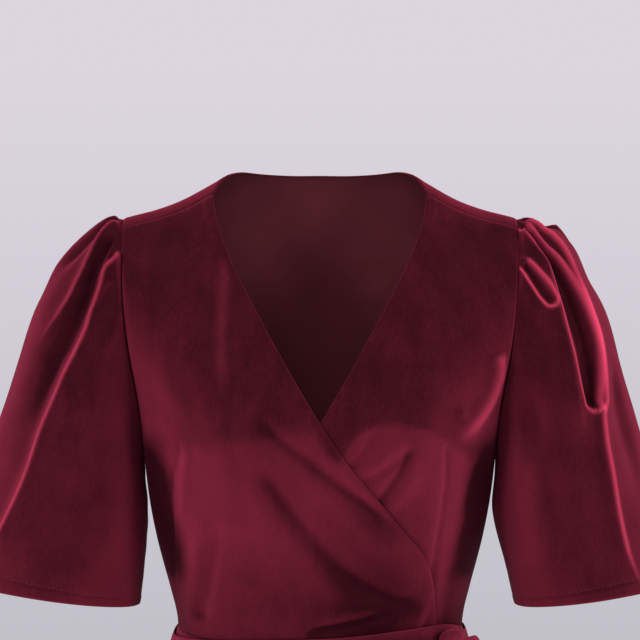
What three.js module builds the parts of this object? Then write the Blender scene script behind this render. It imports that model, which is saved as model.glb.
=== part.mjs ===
import * as THREE from 'three';

// A wrap dress as worn: hollow, filled out by a general figure that is not there.
// Millimetres, +Z up. The front faces -Y and the wearer's right is -X.
// The origin is the middle of the shoulders, level with the two front neck points.

// Driving dimensions
const CLOTH = 1.4;
const LAP = 2.8;
const UNDER_EASE = 1.5;
const CHEST_Z = -240;
const WAIST_Z = -405;
const HEM_Z = -965;
const SEAM_GAP = 0.4;
const WAIST_SEAM_GAP = 0.5;
const SHOULDER_SEAM_TRIM = 0.2;
const SLEEVE_SEAM_GAP = 0.5;
const ROUNDNESS = 2.3;
const FRONT_SLOPE = 1.35;
const BUST = { x: 78, z: -222, out: 9, wide: 40, tall: 46 };
const BELT = { width: 36, thick: 2.4, clear: 1.4 };
const RIBBON = 1.8;
const FOLD_START = 0.05;
const KNOT = { x: 111, z: -411, wide: 30, high: 34, deep: 17, clear: 1.6 };

// The armhole is divided evenly: its front steps end at the shoulder seam, the rest are the back's
const ARMHOLE_STEPS = { front: 11, back: 14 };
const ARMHOLE_STEP = 360 / (ARMHOLE_STEPS.front + ARMHOLE_STEPS.back);
const SHOULDER_SEAM_TURN = 180 - ARMHOLE_STEPS.front * ARMHOLE_STEP;

// Rows, columns and rings of each wall's grid
const GRID = {
  lowerRows: 9, frontColumns: 20, backColumns: 24,
  sleeveRings: 12, sleeveSplit: 3,
  skirtRows: 8, skirtFrontColumns: 18, skirtBackColumns: 22,
  beltColumns: 56, loopSteps: 18, tailSteps: 12, ribbonColumns: 2,
  knotRings: 10, knotColumns: 16,
};

// Level sections of the bodice from waist to chest: half width, depth to the front and back
const TORSO = [
  { z: -430, half: 136, front: 95, back: 87 },
  { z: -405, half: 133.5, front: 93, back: 84 },
  { z: -387, half: 135.5, front: 94, back: 84.5 },
  { z: -364, half: 141, front: 96.5, back: 86 },
  { z: -342, half: 147, front: 99.5, back: 88.5 },
  { z: -319, half: 152.5, front: 103.5, back: 91.5 },
  { z: -280, half: 159.5, front: 110, back: 97 },
  { z: -240, half: 164, front: 113, back: 100 },
];

// Level sections of the skirt, and how far its folds stand out there
const SKIRT = [
  { z: -965, half: 318, front: 262, back: 268, fold: 13 },
  { z: -860, half: 288, front: 232, back: 236, fold: 11 },
  { z: -740, half: 250, front: 194, back: 200, fold: 8.5 },
  { z: -620, half: 208, front: 155, back: 163, fold: 5.5 },
  { z: -530, half: 177, front: 128, back: 136, fold: 3 },
  { z: -470, half: 154, front: 110, back: 112, fold: 1.2 },
  { z: -430, half: 139.5, front: 98, back: 92, fold: 0 },
  { z: -405, half: 133.5, front: 93, back: 84, fold: 0 },
];

// Above the chest the sections turn up towards the crest of the shoulders
const YOKE = [
  { rise: 0, half: 164 },
  { rise: 8, half: 167.5 },
  { rise: 15, half: 175 },
  { rise: 33, half: 204 },
  { rise: 43, half: 216 },
  { rise: 60, half: 243 },
  { rise: 75, half: 277 },
  { rise: 90, half: 320 },
];

// Height of the shoulder crest, and how full the back is below it
const CREST = [
  { x: 0, z: 30, backSlope: 0.5 },
  { x: 40, z: 28, backSlope: 0.55 },
  { x: 70, z: 22, backSlope: 0.68 },
  { x: 87, z: 15, backSlope: 0.78 },
  { x: 100, z: 7, backSlope: 0.84 },
  { x: 127, z: -7.5, backSlope: 0.9 },
  { x: 150, z: -16, backSlope: 0.95 },
  { x: 175, z: -22.5, backSlope: 1 },
  { x: 205, z: -32, backSlope: 1 },
];

// Front edge of each front, by height: how far it lies on its own side of the middle
const FRONT_EDGE = [
  { z: -405, reach: -104 },
  { z: -372, reach: -103 },
  { z: -345, reach: -100 },
  { z: -322, reach: -91 },
  { z: -296, reach: -71 },
  { z: -272, reach: -53 },
  { z: -250, reach: -34 },
  { z: -224, reach: -14 },
  { z: -201, reach: 1 },
  { z: -142, reach: 35.5 },
  { z: -98, reach: 60 },
  { z: -62, reach: 79 },
  { z: -27, reach: 93 },
  { z: 0, reach: 99.5 },
  { z: 12, reach: 101 },
];

// Armhole seam seen from the front
const ARMHOLE = [
  { z: -255, x: 162.9 },
  { z: -240, x: 164 },
  { z: -225, x: 164.4 },
  { z: -206, x: 165.5 },
  { z: -180, x: 168.5 },
  { z: -151, x: 173 },
  { z: -124, x: 176.5 },
  { z: -93, x: 179.5 },
  { z: -52, x: 181.5 },
  { z: -20, x: 182.5 },
];

// Top edge of the back: its turn over the shoulder, 0 at the crest and plus to the front
const BACK_TOP = [
  { x: 0, turn: -28 },
  { x: 35, turn: -26.5 },
  { x: 60, turn: -20 },
  { x: 80, turn: -6 },
  { x: 91, turn: 8 },
  { x: 99.5, turn: SHOULDER_SEAM_TURN },
  { x: 103, turn: SHOULDER_SEAM_TURN },
  { x: 205, turn: SHOULDER_SEAM_TURN },
];

// Sleeve, by distance along it: outer line, inner line under the arm, depth front and back
const SLEEVE_OUTER = [
  { s: 0, x: 183, z: -22 },
  { s: 0.04, x: 196, z: -24 },
  { s: 0.09, x: 213, z: -37 },
  { s: 0.16, x: 233, z: -58 },
  { s: 0.24, x: 250, z: -83 },
  { s: 0.33, x: 265, z: -110 },
  { s: 0.45, x: 281, z: -158 },
  { s: 0.6, x: 300, z: -218 },
  { s: 0.8, x: 324, z: -292 },
  { s: 1, x: 348, z: -358 },
];
const SLEEVE_INNER = [
  { s: 0, right: 164.3, left: 164.3, z: -240 },
  { s: 0.2, right: 163.6, left: 163.6, z: -264 },
  { s: 0.4, right: 161.5, left: 161.5, z: -296 },
  { s: 0.6, right: 162.5, left: 167.5, z: -325 },
  { s: 0.8, right: 165.5, left: 176, z: -356 },
  { s: 1, right: 169.5, left: 183, z: -387 },
];
const SLEEVE_DEPTH = [
  { s: 0, front: 52, back: 52, lift: 0 },
  { s: 0.12, front: 60, back: 62, lift: 0 },
  { s: 0.3, front: 68, back: 70, lift: 2 },
  { s: 0.6, front: 73, back: 76, lift: 5 },
  { s: 1, front: 78, back: 82, lift: 7 },
];

// Pleats and folds of each sleeve. Each runs between two distances along it, and its turn in
// degrees from the outer line, plus to the front, is given at its start, middle and end
const SLEEVE_FOLDS = {
  right: [
    { from: 0, to: 0.45, start: 4, middle: 40, end: 30, wide: 8, out: 4.5, stop: 0.45 },
    { from: 0, to: 0.62, start: 20, middle: 48, end: 50, wide: 8, out: -6.5, stop: 0.5 },
    { from: 0, to: 1.15, start: 42, middle: 71, end: 44, wide: 8, out: 6.5, stop: 0.3 },
    { from: 0, to: 0.3, start: 0, middle: 12, end: 16, wide: 5, out: -3, stop: 0.4 },
    { from: 0.35, to: 1.25, start: 92, middle: 94, end: 95, wide: 12, out: -3, stop: 0.3 },
    { from: 0.4, to: 1.25, start: 118, middle: 122, end: 126, wide: 14, out: 4, stop: 0.3 },
  ],
  left: [
    { from: 0, to: 0.5, start: 10, middle: 24, end: 60, wide: 7, out: 5, stop: 0.15 },
    { from: 0.42, to: 1.25, start: 55, middle: 68, end: 68, wide: 8, out: 5, stop: 0.3 },
    { from: 0, to: 0.44, start: 14, middle: 38, end: 65, wide: 7, out: -9, stop: 0.14 },
    { from: 0, to: 0.55, start: 20, middle: 54, end: 76, wide: 7, out: 5.5, stop: 0.4 },
    { from: 0, to: 0.15, start: 40, middle: 54, end: 66, wide: 5, out: -5, stop: 0.25 },
    { from: 0, to: 0.2, start: 50, middle: 64, end: 73, wide: 5, out: 2.5, stop: 0.4 },
    { from: 0.1, to: 1.3, start: 116, middle: 126, end: 142, wide: 10, out: 4, stop: 0.3 },
    { from: 0.08, to: 1.3, start: 98, middle: 109, end: 114, wide: 11, out: -4, stop: 0.3 },
    { from: 0.04, to: 0.4, start: -4, middle: -2, end: 0, wide: 26, out: 9, stop: 0.6 },
    { from: 0.35, to: 0.85, start: 0, middle: 0, end: 0, wide: 24, out: -3.5, stop: 0.4 },
  ],
  back: [
    { from: 0, to: 1, start: -26, middle: -44, end: -58, wide: 8, out: 5, stop: 0.5 },
    { from: 0, to: 0.6, start: -18, middle: -30, end: -40, wide: 7, out: -5, stop: 0.4 },
    { from: 0, to: 1.15, start: -50, middle: -70, end: -82, wide: 9, out: 5.5, stop: 0.3 },
    { from: 0, to: 0.5, start: -40, middle: -56, end: -68, wide: 6, out: -4.5, stop: 0.4 },
    { from: 0.3, to: 1.25, start: -100, middle: -104, end: -107, wide: 13, out: -3.5, stop: 0.3 },
    { from: 0.3, to: 1.25, start: -128, middle: -132, end: -135, wide: 12, out: 4, stop: 0.3 },
  ],
};

// Creases of the fronts seen from the front: each runs along a line and stands out, or in
const OUTER_FRONT_RIDGES = [
  { x0: -57, z0: -196, x1: 68, z1: -297, sag: 2, wide: 10, out: -3 },
  { x0: -58, z0: -235, x1: 94, z1: -353, sag: 19, wide: 12, out: -3.8 },
  { x0: -28, z0: -226, x1: 80, z1: -326, sag: 3, wide: 11, out: 2 },
  { x0: -88, z0: -288, x1: -107, z1: -388, sag: 0, wide: 8, out: -2.5 },
  { x0: -102, z0: -280, x1: -118, z1: -396, sag: 0, wide: 9, out: 2.5 },
];
const INNER_FRONT_RIDGES = [
  { x0: 24, z0: -242, x1: 54, z1: -202, sag: 0, wide: 6, out: -2 },
  { x0: 52, z0: -273, x1: 84, z1: -220, sag: 0, wide: 6, out: -2 },
  { x0: 163, z0: -144, x1: 124, z1: -222, sag: -12, wide: 9, out: 3.4 },
  { x0: 104, z0: -232, x1: 94, z1: -340, sag: 2, wide: 9, out: 1.5 },
  { x0: 150, z0: -236, x1: 128, z1: -290, sag: 2, wide: 8, out: -1.8 },
];
const BACK_RIDGES = [
  { x0: -130, z0: -340, x1: -16, z1: -366, sag: 6, wide: 9, out: 2.4 },
  { x0: 18, z0: -358, x1: 130, z1: -324, sag: 7, wide: 9, out: 2.2 },
  { x0: -160, z0: -230, x1: -98, z1: -296, sag: 2, wide: 11, out: -2.2 },
  { x0: 160, z0: -236, x1: 104, z1: -300, sag: -2, wide: 11, out: -2 },
];

// Soft folds of the skirt: turn is in degrees round the waist from the wearer's right side
const SKIRT_FOLDS = [
  { turn: 8, wide: 9, out: 1, from: -440 },
  { turn: 31, wide: 8, out: 0.7, from: -520 },
  { turn: 52, wide: 10, out: 0.55, from: -600 },
  { turn: 86, wide: 12, out: 0.4, from: -640 },
  { turn: 128, wide: 9, out: 0.55, from: -560 },
  { turn: 152, wide: 8, out: 0.8, from: -500 },
  { turn: 174, wide: 9, out: 1, from: -440 },
  { turn: 199, wide: 8, out: 0.8, from: -470 },
  { turn: 222, wide: 9, out: 1, from: -450 },
  { turn: 249, wide: 10, out: 0.8, from: -480 },
  { turn: 274, wide: 9, out: 1, from: -440 },
  { turn: 301, wide: 10, out: 0.9, from: -470 },
  { turn: 327, wide: 8, out: 0.8, from: -450 },
  { turn: 345, wide: 8, out: 0.7, from: -500 },
];

// Where the middle of the belt runs, by its place round the waist in degrees
const BELT_LINE = [
  { turn: 0, z: -431 },
  { turn: 45, z: -423 },
  { turn: 90, z: -416 },
  { turn: 125, z: -410 },
  { turn: 145, z: -411 },
  { turn: 180, z: -427 },
  { turn: 270, z: -413 },
  { turn: 360, z: -431 },
];

// Bow loops: each leaves the knot, runs round the waist and comes back nearer the skirt
const LOOPS = {
  right: {
    droop: 24,
    path: [
      { turn: 133.1, z: -409, out: 16 },
      { turn: 124, z: -411, out: 21 },
      { turn: 112, z: -418, out: 24 },
      { turn: 101, z: -429, out: 21 },
      { turn: 98, z: -436, out: 16 },
      { turn: 106, z: -432, out: 12.5 },
      { turn: 118, z: -423, out: 11.5 },
      { turn: 133.1, z: -413, out: 10.5 },
    ],
  },
  left: {
    droop: -4,
    path: [
      { turn: 148.9, z: -412, out: 16 },
      { turn: 155, z: -419, out: 15 },
      { turn: 161, z: -428, out: 13.5 },
      { turn: 165, z: -440, out: 12.5 },
      { turn: 165, z: -448, out: 8.7 },
      { turn: 160, z: -438, out: 8.5 },
      { turn: 155, z: -427, out: 9.6 },
      { turn: 149.6, z: -417, out: 11 },
    ],
  },
};

// Tails: each leaves the knot's underside gathered and hangs over the skirt to its end.
// below is its distance under the knot, start and out its distances out at its two ends,
// wave its swing to the side
const TAILS = [
  { name: 'tie_tail_long', below: 0.9, x0: 108.2, x1: 88, z1: -800, start: 11.4, out: 4, wave: 9 },
  { name: 'tie_tail_short', below: 1.6, x0: 111.8, x1: 152, z1: -725, start: 16.2, out: 9, wave: -8 },
];

const VELVET = {
  bodice_back: 0x651a2c, bodice_front_outer: 0x6b1c2e, bodice_front_inner: 0x5c1727,
  sleeve_right: 0x701d31, sleeve_left: 0x701d31,
  skirt_back: 0x5e1828, skirt_front_outer: 0x661a2b, skirt_front_inner: 0x571524,
  belt: 0x76203a,
};

const RADIANS = Math.PI / 180;
const mix = (a, b, t) => a + (b - a) * t;
const clamp = (t) => Math.min(1, Math.max(0, t));
const soft = (t) => clamp(t) * clamp(t) * (3 - 2 * clamp(t));
const bell = (t) => Math.exp(-t * t);
const point = (x, y, z) => new THREE.Vector3(x, y, z);

// Smooth value of a table's column at a place in its key column
function read(table, key, at, column) {
  const last = table.length - 1;
  const up = table[last][key] > table[0][key];
  let i = 0;
  while (i < last - 1 && (up ? at > table[i + 1][key] : at < table[i + 1][key])) i += 1;
  const slope = (k) => {
    const a = table[Math.max(0, k - 1)];
    const b = table[Math.min(last, k + 1)];
    return (b[column] - a[column]) / (b[key] - a[key]);
  };
  const p = table[i];
  const q = table[i + 1];
  const span = q[key] - p[key];
  const t = clamp((at - p[key]) / span);
  const t2 = t * t;
  const t3 = t2 * t;
  return (2 * t3 - 3 * t2 + 1) * p[column] + (t3 - 2 * t2 + t) * span * slope(i)
    + (3 * t2 - 2 * t3) * q[column] + (t3 - t2) * span * slope(i + 1);
}

// How far round a section a side seam's edge lies, to leave half the seam's gap
const seamTrim = (depth) => (SEAM_GAP / 2 / depth) ** (ROUNDNESS / 2);

// Depth of a rounded section at a place across it, and the place of an angle round it
const across = (x, half) => (1 - Math.min(1, Math.abs(x / half)) ** ROUNDNESS) ** (1 / ROUNDNESS);
const bent = (turn) => Math.sign(Math.cos(turn)) * Math.abs(Math.cos(turn)) ** (2 / ROUNDNESS);
const unbent = (c) => Math.acos(Math.sign(c) * Math.min(1, Math.abs(c)) ** (ROUNDNESS / 2));

const FULL_FRONT = TORSO[TORSO.length - 1].front;
const FULL_BACK = TORSO[TORSO.length - 1].back;

function bustOut(x, z) {
  const dz = (z - BUST.z) / BUST.tall;
  const side = (c) => bell((x - c) / BUST.wide);
  return BUST.out * bell(dz) * (side(BUST.x) + side(-BUST.x));
}

// A point of the level sections below the chest
function torsoPoint(front, x, z) {
  const half = read(TORSO, 'z', z, 'half');
  const depth = across(x, half) * read(TORSO, 'z', z, front ? 'front' : 'back');
  const y = front ? -depth - bustOut(x, z) * across(x, half) : depth;
  return point(x, y, z);
}

// A point above the chest; past 90 degrees the back has come over the crest to the front
function yokePoint(front, x, rise) {
  const onFront = front || rise > 90;
  const lift = (rise > 90 ? 180 - rise : rise) * RADIANS;
  const crest = read(CREST, 'x', Math.abs(x), 'z');
  const half = read(YOKE, 'rise', lift / RADIANS, 'half');
  const z = CHEST_Z + (crest - CHEST_Z) * Math.sin(lift);
  const slope = onFront ? FRONT_SLOPE : read(CREST, 'x', Math.abs(x), 'backSlope');
  const depth = (onFront ? FULL_FRONT : FULL_BACK) * across(x, half) * Math.max(0, Math.cos(lift)) ** slope;
  return point(x, onFront ? -depth - bustOut(x, z) * across(x, half) : depth, z);
}

// Width of the armhole or section at a level: v runs from -1 at the waist to 1 at the top
function outerWidth(z) {
  return z < CHEST_Z ? read(TORSO, 'z', z, 'half') : read(ARMHOLE, 'z', z, 'x');
}

// A turn over the shoulder as a rise from the chest: 180 is the chest, 0 the crest
const riseOf = (turn) => Math.asin(Math.cos(turn * RADIANS / 2) ** 2) / RADIANS;

const lowerHeight = (v) => mix(CHEST_Z, WAIST_Z + WAIST_SEAM_GAP / 2, -v);

// A front: u runs from the side seam or armhole to the front edge
function frontPoint(side, u, v) {
  const rise = riseOf(mix(180, SHOULDER_SEAM_TURN + SHOULDER_SEAM_TRIM, v));
  let z = v < 0 ? lowerHeight(v) : CHEST_Z;
  let x = 0;
  for (let pass = 0; pass < 6; pass += 1) {
    const outer = outerWidth(z);
    const inner = read(FRONT_EDGE, 'z', z, 'reach');
    x = side * outer * bent(mix(seamTrim(FULL_FRONT), unbent(inner / outer), u));
    if (v < 0) break;
    z = yokePoint(true, x, rise).z;
  }
  return v < 0 ? torsoPoint(true, x, z) : yokePoint(true, x, rise);
}

// The back: u runs from the wearer's right to the left
function backPoint(u, v) {
  const turn = mix(seamTrim(FULL_BACK), Math.PI - seamTrim(FULL_BACK), u);
  if (v < 0) {
    const z = lowerHeight(v);
    return torsoPoint(false, -outerWidth(z) * bent(turn), z);
  }
  let z = CHEST_Z;
  let x = 0;
  let rise = 0;
  for (let pass = 0; pass < 8; pass += 1) {
    x = -outerWidth(z) * bent(turn);
    const top = Math.min(read(BACK_TOP, 'x', Math.abs(x), 'turn'), SHOULDER_SEAM_TURN);
    const over = mix(-180, top - SHOULDER_SEAM_TRIM, v);
    rise = over > 0 ? 180 - riseOf(over) : riseOf(over);
    z = yokePoint(false, x, rise).z;
  }
  return yokePoint(false, x, rise);
}

// Height of a set of ridges at a place seen from the front or back
function ridgeHeight(ridges, x, z) {
  let height = 0;
  for (const r of ridges) {
    const dx = r.x1 - r.x0;
    const dz = r.z1 - r.z0;
    const long = Math.hypot(dx, dz);
    const t = ((x - r.x0) * dx + (z - r.z0) * dz) / (long * long);
    const off = ((x - r.x0) * dz - (z - r.z0) * dx) / long - r.sag * 4 * t * (1 - t);
    const ends = soft((t + 0.12) / 0.3) * soft((1.12 - t) / 0.3);
    height += r.out * bell(off / r.wide) * ends;
  }
  return height;
}

// Outward direction of a surface at a place, from its neighbours
function outward(surface, u, v, sign) {
  const h = 0.004;
  const across1 = surface(Math.min(1, u + h), v).sub(surface(Math.max(0, u - h), v));
  const top = v > -h && v < h ? 0 : Math.min(1, v + h);
  const along = surface(u, top).sub(surface(u, Math.max(-1, top - 2 * h)));
  return across1.cross(along).normalize().multiplyScalar(sign);
}

// A closed wall between an outer and an inner grid; rings closed round have no side rims
function wall(outer, inner, closed) {
  const rows = outer.length;
  const columns = outer[0].length;
  const positions = [];
  for (const grid of [outer, inner]) {
    for (const row of grid) for (const p of row) positions.push(p.x, p.y, p.z);
  }
  const at = (layer, r, c) => layer * rows * columns + r * columns + (c % columns);
  const index = [];
  const quad = (a, b, c, d) => index.push(a, b, c, a, c, d);
  const spans = closed ? columns : columns - 1;
  for (let r = 0; r < rows - 1; r += 1) {
    for (let c = 0; c < spans; c += 1) {
      quad(at(0, r, c), at(0, r, c + 1), at(0, r + 1, c + 1), at(0, r + 1, c));
      quad(at(1, r, c + 1), at(1, r, c), at(1, r + 1, c), at(1, r + 1, c + 1));
    }
  }
  for (let c = 0; c < spans; c += 1) {
    quad(at(1, 0, c), at(1, 0, c + 1), at(0, 0, c + 1), at(0, 0, c));
    const top = rows - 1;
    quad(at(0, top, c), at(0, top, c + 1), at(1, top, c + 1), at(1, top, c));
  }
  if (!closed) {
    for (let r = 0; r < rows - 1; r += 1) {
      const end = columns - 1;
      quad(at(1, r, 0), at(0, r, 0), at(0, r + 1, 0), at(1, r + 1, 0));
      quad(at(0, r, end), at(1, r, end), at(1, r + 1, end), at(0, r + 1, end));
    }
  }
  const geometry = new THREE.BufferGeometry();
  geometry.setAttribute('position', new THREE.Float32BufferAttribute(positions, 3));
  geometry.setIndex(index);
  return geometry;
}

// Turns a geometry's faces over when they point inwards
function facingOut(geometry) {
  const index = geometry.getIndex();
  const place = geometry.getAttribute('position');
  const a = new THREE.Vector3();
  const b = new THREE.Vector3();
  const c = new THREE.Vector3();
  let volume = 0;
  for (let i = 0; i < index.count; i += 3) {
    a.fromBufferAttribute(place, index.getX(i));
    b.fromBufferAttribute(place, index.getX(i + 1));
    c.fromBufferAttribute(place, index.getX(i + 2));
    volume += a.dot(b.cross(c));
  }
  if (volume < 0) {
    for (let i = 0; i < index.count; i += 3) {
      const second = index.getX(i + 1);
      index.setX(i + 1, index.getX(i + 2));
      index.setX(i + 2, second);
    }
  }
  geometry.computeVertexNormals();
  return geometry;
}

const group = new THREE.Group();

function add(name, geometry, colour) {
  const material = new THREE.MeshStandardMaterial({ color: colour, roughness: 0.85, metalness: 0 });
  const mesh = new THREE.Mesh(facingOut(geometry), material);
  mesh.name = name;
  group.add(mesh);
}

// A bodice panel: its surface, with a height to stand off it at each place
function panel(surface, upperRows, columns, sign, standOff) {
  const outer = [];
  const inner = [];
  for (let r = -GRID.lowerRows; r <= upperRows; r += 1) {
    const v = r < 0 ? r / GRID.lowerRows : r / upperRows;
    const outerRow = [];
    const innerRow = [];
    for (let c = 0; c <= columns; c += 1) {
      const u = c / columns;
      const base = surface(u, v);
      const normal = outward(surface, u, v, sign);
      outerRow.push(base.clone().addScaledVector(normal, standOff(u, v, base)));
      innerRow.push(outerRow[c].clone().addScaledVector(normal, -CLOTH));
    }
    outer.push(outerRow);
    inner.push(innerRow);
  }
  return wall(outer, inner, false);
}

// The outer front's creases fade out at its edge; the front below follows them
function outerCrease(p) {
  const edge = -read(FRONT_EDGE, 'z', p.z, 'reach');
  return ridgeHeight(OUTER_FRONT_RIDGES, p.x, p.z) * soft((edge - p.x + 3) / 14);
}

// The outer front lies on the inner one, and comes down to the side and shoulder seams
function bodiceFronts() {
  const lap = (u, v) => LAP * soft(u / 0.26) * (1 - soft((v - 0.62) / 0.3));
  const outerFront = (u, v) => frontPoint(-1, u, v);
  const innerFront = (u, v) => frontPoint(1, u, v);
  add('bodice_front_outer', panel(outerFront, ARMHOLE_STEPS.front, GRID.frontColumns,
    1, (u, v, p) => lap(u, v) + outerCrease(p) * soft(u / 0.1)), VELVET.bodice_front_outer);
  const underCrease = (u, v, p) => {
    const open = soft((p.x - 16) / 16) * soft(u / 0.08);
    const covered = soft((-read(FRONT_EDGE, 'z', p.z, 'reach') - p.x - 2) / 18) * soft((p.z - WAIST_Z) / 30);
    return ridgeHeight(INNER_FRONT_RIDGES, p.x, p.z) * open + outerCrease(p) - UNDER_EASE * covered;
  };
  add('bodice_front_inner', panel(innerFront, ARMHOLE_STEPS.front, GRID.frontColumns,
    -1, underCrease), VELVET.bodice_front_inner);
}

function bodiceBack() {
  const ridge = (u, v, p) => {
    const edge = soft(u / 0.06) * soft((1 - u) / 0.06);
    return v < 0 ? ridgeHeight(BACK_RIDGES, p.x, p.z) * edge : 0;
  };
  add('bodice_back', panel(backPoint, ARMHOLE_STEPS.back, GRID.backColumns, -1, ridge),
    VELVET.bodice_back);
}

// A corner of the armhole: turn 0 is the tip of the shoulder, plus to the front, 180 the underarm
function armholeCorner(side, turn) {
  let z = CHEST_Z;
  let p = point(0, 0, 0);
  for (let pass = 0; pass < 6; pass += 1) {
    p = yokePoint(turn > 0, side * read(ARMHOLE, 'z', z, 'x'), riseOf(turn));
    z = p.z;
  }
  return p;
}

// The armhole seam runs straight between the corners that the bodice's rows give it
function armholePoint(side, turn) {
  const steps = (turn - 180) / ARMHOLE_STEP;
  const corner = Math.floor(steps + 1e-6);
  const from = armholeCorner(side, 180 + corner * ARMHOLE_STEP);
  const to = armholeCorner(side, 180 + (corner + 1) * ARMHOLE_STEP);
  return from.lerp(to, steps - corner);
}

// A point of a sleeve's plain rings: s runs from the armhole to the hem
function sleeveRing(side, turn, s) {
  const hand = side < 0 ? 'right' : 'left';
  const top = point(side * read(SLEEVE_OUTER, 's', s, 'x'), 0, read(SLEEVE_OUTER, 's', s, 'z'));
  const bottom = point(side * read(SLEEVE_INNER, 's', s, hand), 0, read(SLEEVE_INNER, 's', s, 'z'));
  const forward = Math.sin(turn * RADIANS);
  const depth = read(SLEEVE_DEPTH, 's', s, forward > 0 ? 'front' : 'back');
  const ring = top.clone().add(bottom).multiplyScalar(0.5);
  ring.addScaledVector(top.clone().sub(bottom), 0.5 * Math.cos(turn * RADIANS));
  ring.y -= depth * forward;
  ring.z += read(SLEEVE_DEPTH, 's', s, 'lift') * Math.max(0, forward);
  return ring;
}

// A sleeve's surface: it leaves the armhole seam and eases into the plain rings
function sleevePoint(side, turn, s) {
  const start = armholePoint(side, turn);
  start.x += side * SLEEVE_SEAM_GAP;
  const shift = start.sub(sleeveRing(side, turn, 0)).multiplyScalar(1 - soft(s / 0.3));
  return sleeveRing(side, turn, s).add(shift);
}

// Signed angle between two turns, in degrees
const apart = (a, b) => ((((a - b + 180) % 360) + 360) % 360) - 180;

function sleeveFold(folds, turn, s) {
  let height = 0;
  for (const f of folds) {
    const t = (s - f.from) / (f.to - f.from);
    if (t > 0 && t < 1) {
      const e = Math.sqrt(t);
      const bend = 2 * (f.start + f.end - 2 * f.middle);
      const line = f.start + (f.end - f.start - bend) * e + bend * e * e;
      const ends = soft((s - f.from) / FOLD_START) * soft((1 - t) / f.stop);
      height += f.out * bell(apart(turn, line) / f.wide) * ends;
    }
  }
  return height;
}

function sleeves() {
  const columns = (ARMHOLE_STEPS.front + ARMHOLE_STEPS.back) * GRID.sleeveSplit;
  for (const [side, hand] of [[-1, 'right'], [1, 'left']]) {
    const folds = [...SLEEVE_FOLDS[hand], ...SLEEVE_FOLDS.back];
    const outer = [];
    const inner = [];
    const h = 0.01;
    const degree = 1;
    for (let r = 0; r <= GRID.sleeveRings; r += 1) {
      const s = (r / GRID.sleeveRings) ** 1.4;
      const outerRow = [];
      const innerRow = [];
      for (let c = 0; c < columns; c += 1) {
        const turn = -180 + (c / columns) * 360;
        const base = sleevePoint(side, turn, s);
        const round = sleevePoint(side, turn + degree, s);
        round.sub(sleevePoint(side, turn - degree, s));
        const down = sleevePoint(side, turn, Math.min(1, s + h));
        down.sub(sleevePoint(side, turn, Math.max(0, s - h)));
        const normal = round.cross(down).normalize().multiplyScalar(side);
        outerRow.push(base.addScaledVector(normal, sleeveFold(folds, turn, s)));
        innerRow.push(outerRow[c].clone().addScaledVector(normal, -CLOTH));
      }
      outer.push(outerRow);
      inner.push(innerRow);
    }
    add(`sleeve_${hand}`, wall(outer, inner, true), VELVET[`sleeve_${hand}`]);
  }
}

// Skirt: turn runs round the waist from the wearer's right, 90 in front, 270 behind
function skirtPoint(turn, z) {
  const half = read(SKIRT, 'z', z, 'half');
  const front = Math.sin(turn) > 0;
  const depth = read(SKIRT, 'z', z, front ? 'front' : 'back');
  const round = Math.abs(Math.sin(turn)) ** (2 / ROUNDNESS);
  return point(-half * bent(turn), (front ? -1 : 1) * depth * round, z);
}

function skirtFold(turn, z) {
  let height = 0;
  for (const f of SKIRT_FOLDS) {
    const off = Math.atan2(Math.sin(turn - f.turn * RADIANS), Math.cos(turn - f.turn * RADIANS));
    height += f.out * bell(off / RADIANS / f.wide) * soft((f.from - z) / 160);
  }
  return height * read(SKIRT, 'z', z, 'fold');
}

function skirtOutward(turn, z) {
  const h = 0.004;
  const round = skirtPoint(turn + h, z).sub(skirtPoint(turn - h, z));
  const down = skirtPoint(turn, z - 1).sub(skirtPoint(turn, z + 1));
  const normal = down.cross(round).normalize();
  normal.z *= soft((WAIST_Z - z) / 60);
  return normal.normalize();
}

function skirtPanel(name, from, to, columns, standOff) {
  const outer = [];
  const inner = [];
  for (let r = 0; r <= GRID.skirtRows; r += 1) {
    const z = mix(WAIST_Z - WAIST_SEAM_GAP / 2, HEM_Z, (r / GRID.skirtRows) ** 1.5);
    const outerRow = [];
    const innerRow = [];
    for (let c = 0; c <= columns; c += 1) {
      const turn = mix(from(z), to(z), c / columns);
      const normal = skirtOutward(turn, z);
      const out = skirtFold(turn, z) + standOff(turn, z);
      outerRow.push(skirtPoint(turn, z).addScaledVector(normal, out));
      innerRow.push(outerRow[c].clone().addScaledVector(normal, -CLOTH));
    }
    outer.push(outerRow);
    inner.push(innerRow);
  }
  add(name, wall(outer, inner, false), VELVET[name]);
}

// How far out the front's outer layer stands round the waist
const waistLap = (turn) => LAP * soft(turn / (36 * RADIANS));

function skirt() {
  const edgeX = (z) => mix(104, 150, (WAIST_Z - z) / (WAIST_Z - HEM_Z));
  const edgeTurn = (z) => Math.PI - unbent(edgeX(z) / read(SKIRT, 'z', z, 'half'));
  const trim = (z) => seamTrim(read(SKIRT, 'z', z, 'front'));
  skirtPanel('skirt_front_outer', trim, edgeTurn, GRID.skirtFrontColumns, waistLap);
  skirtPanel('skirt_front_inner', (z) => Math.PI - edgeTurn(z), (z) => Math.PI - trim(z),
    GRID.skirtFrontColumns, () => 0);
  skirtPanel('skirt_back', (z) => Math.PI + trim(z), (z) => 2 * Math.PI - trim(z),
    GRID.skirtBackColumns, () => 0);
}

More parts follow.
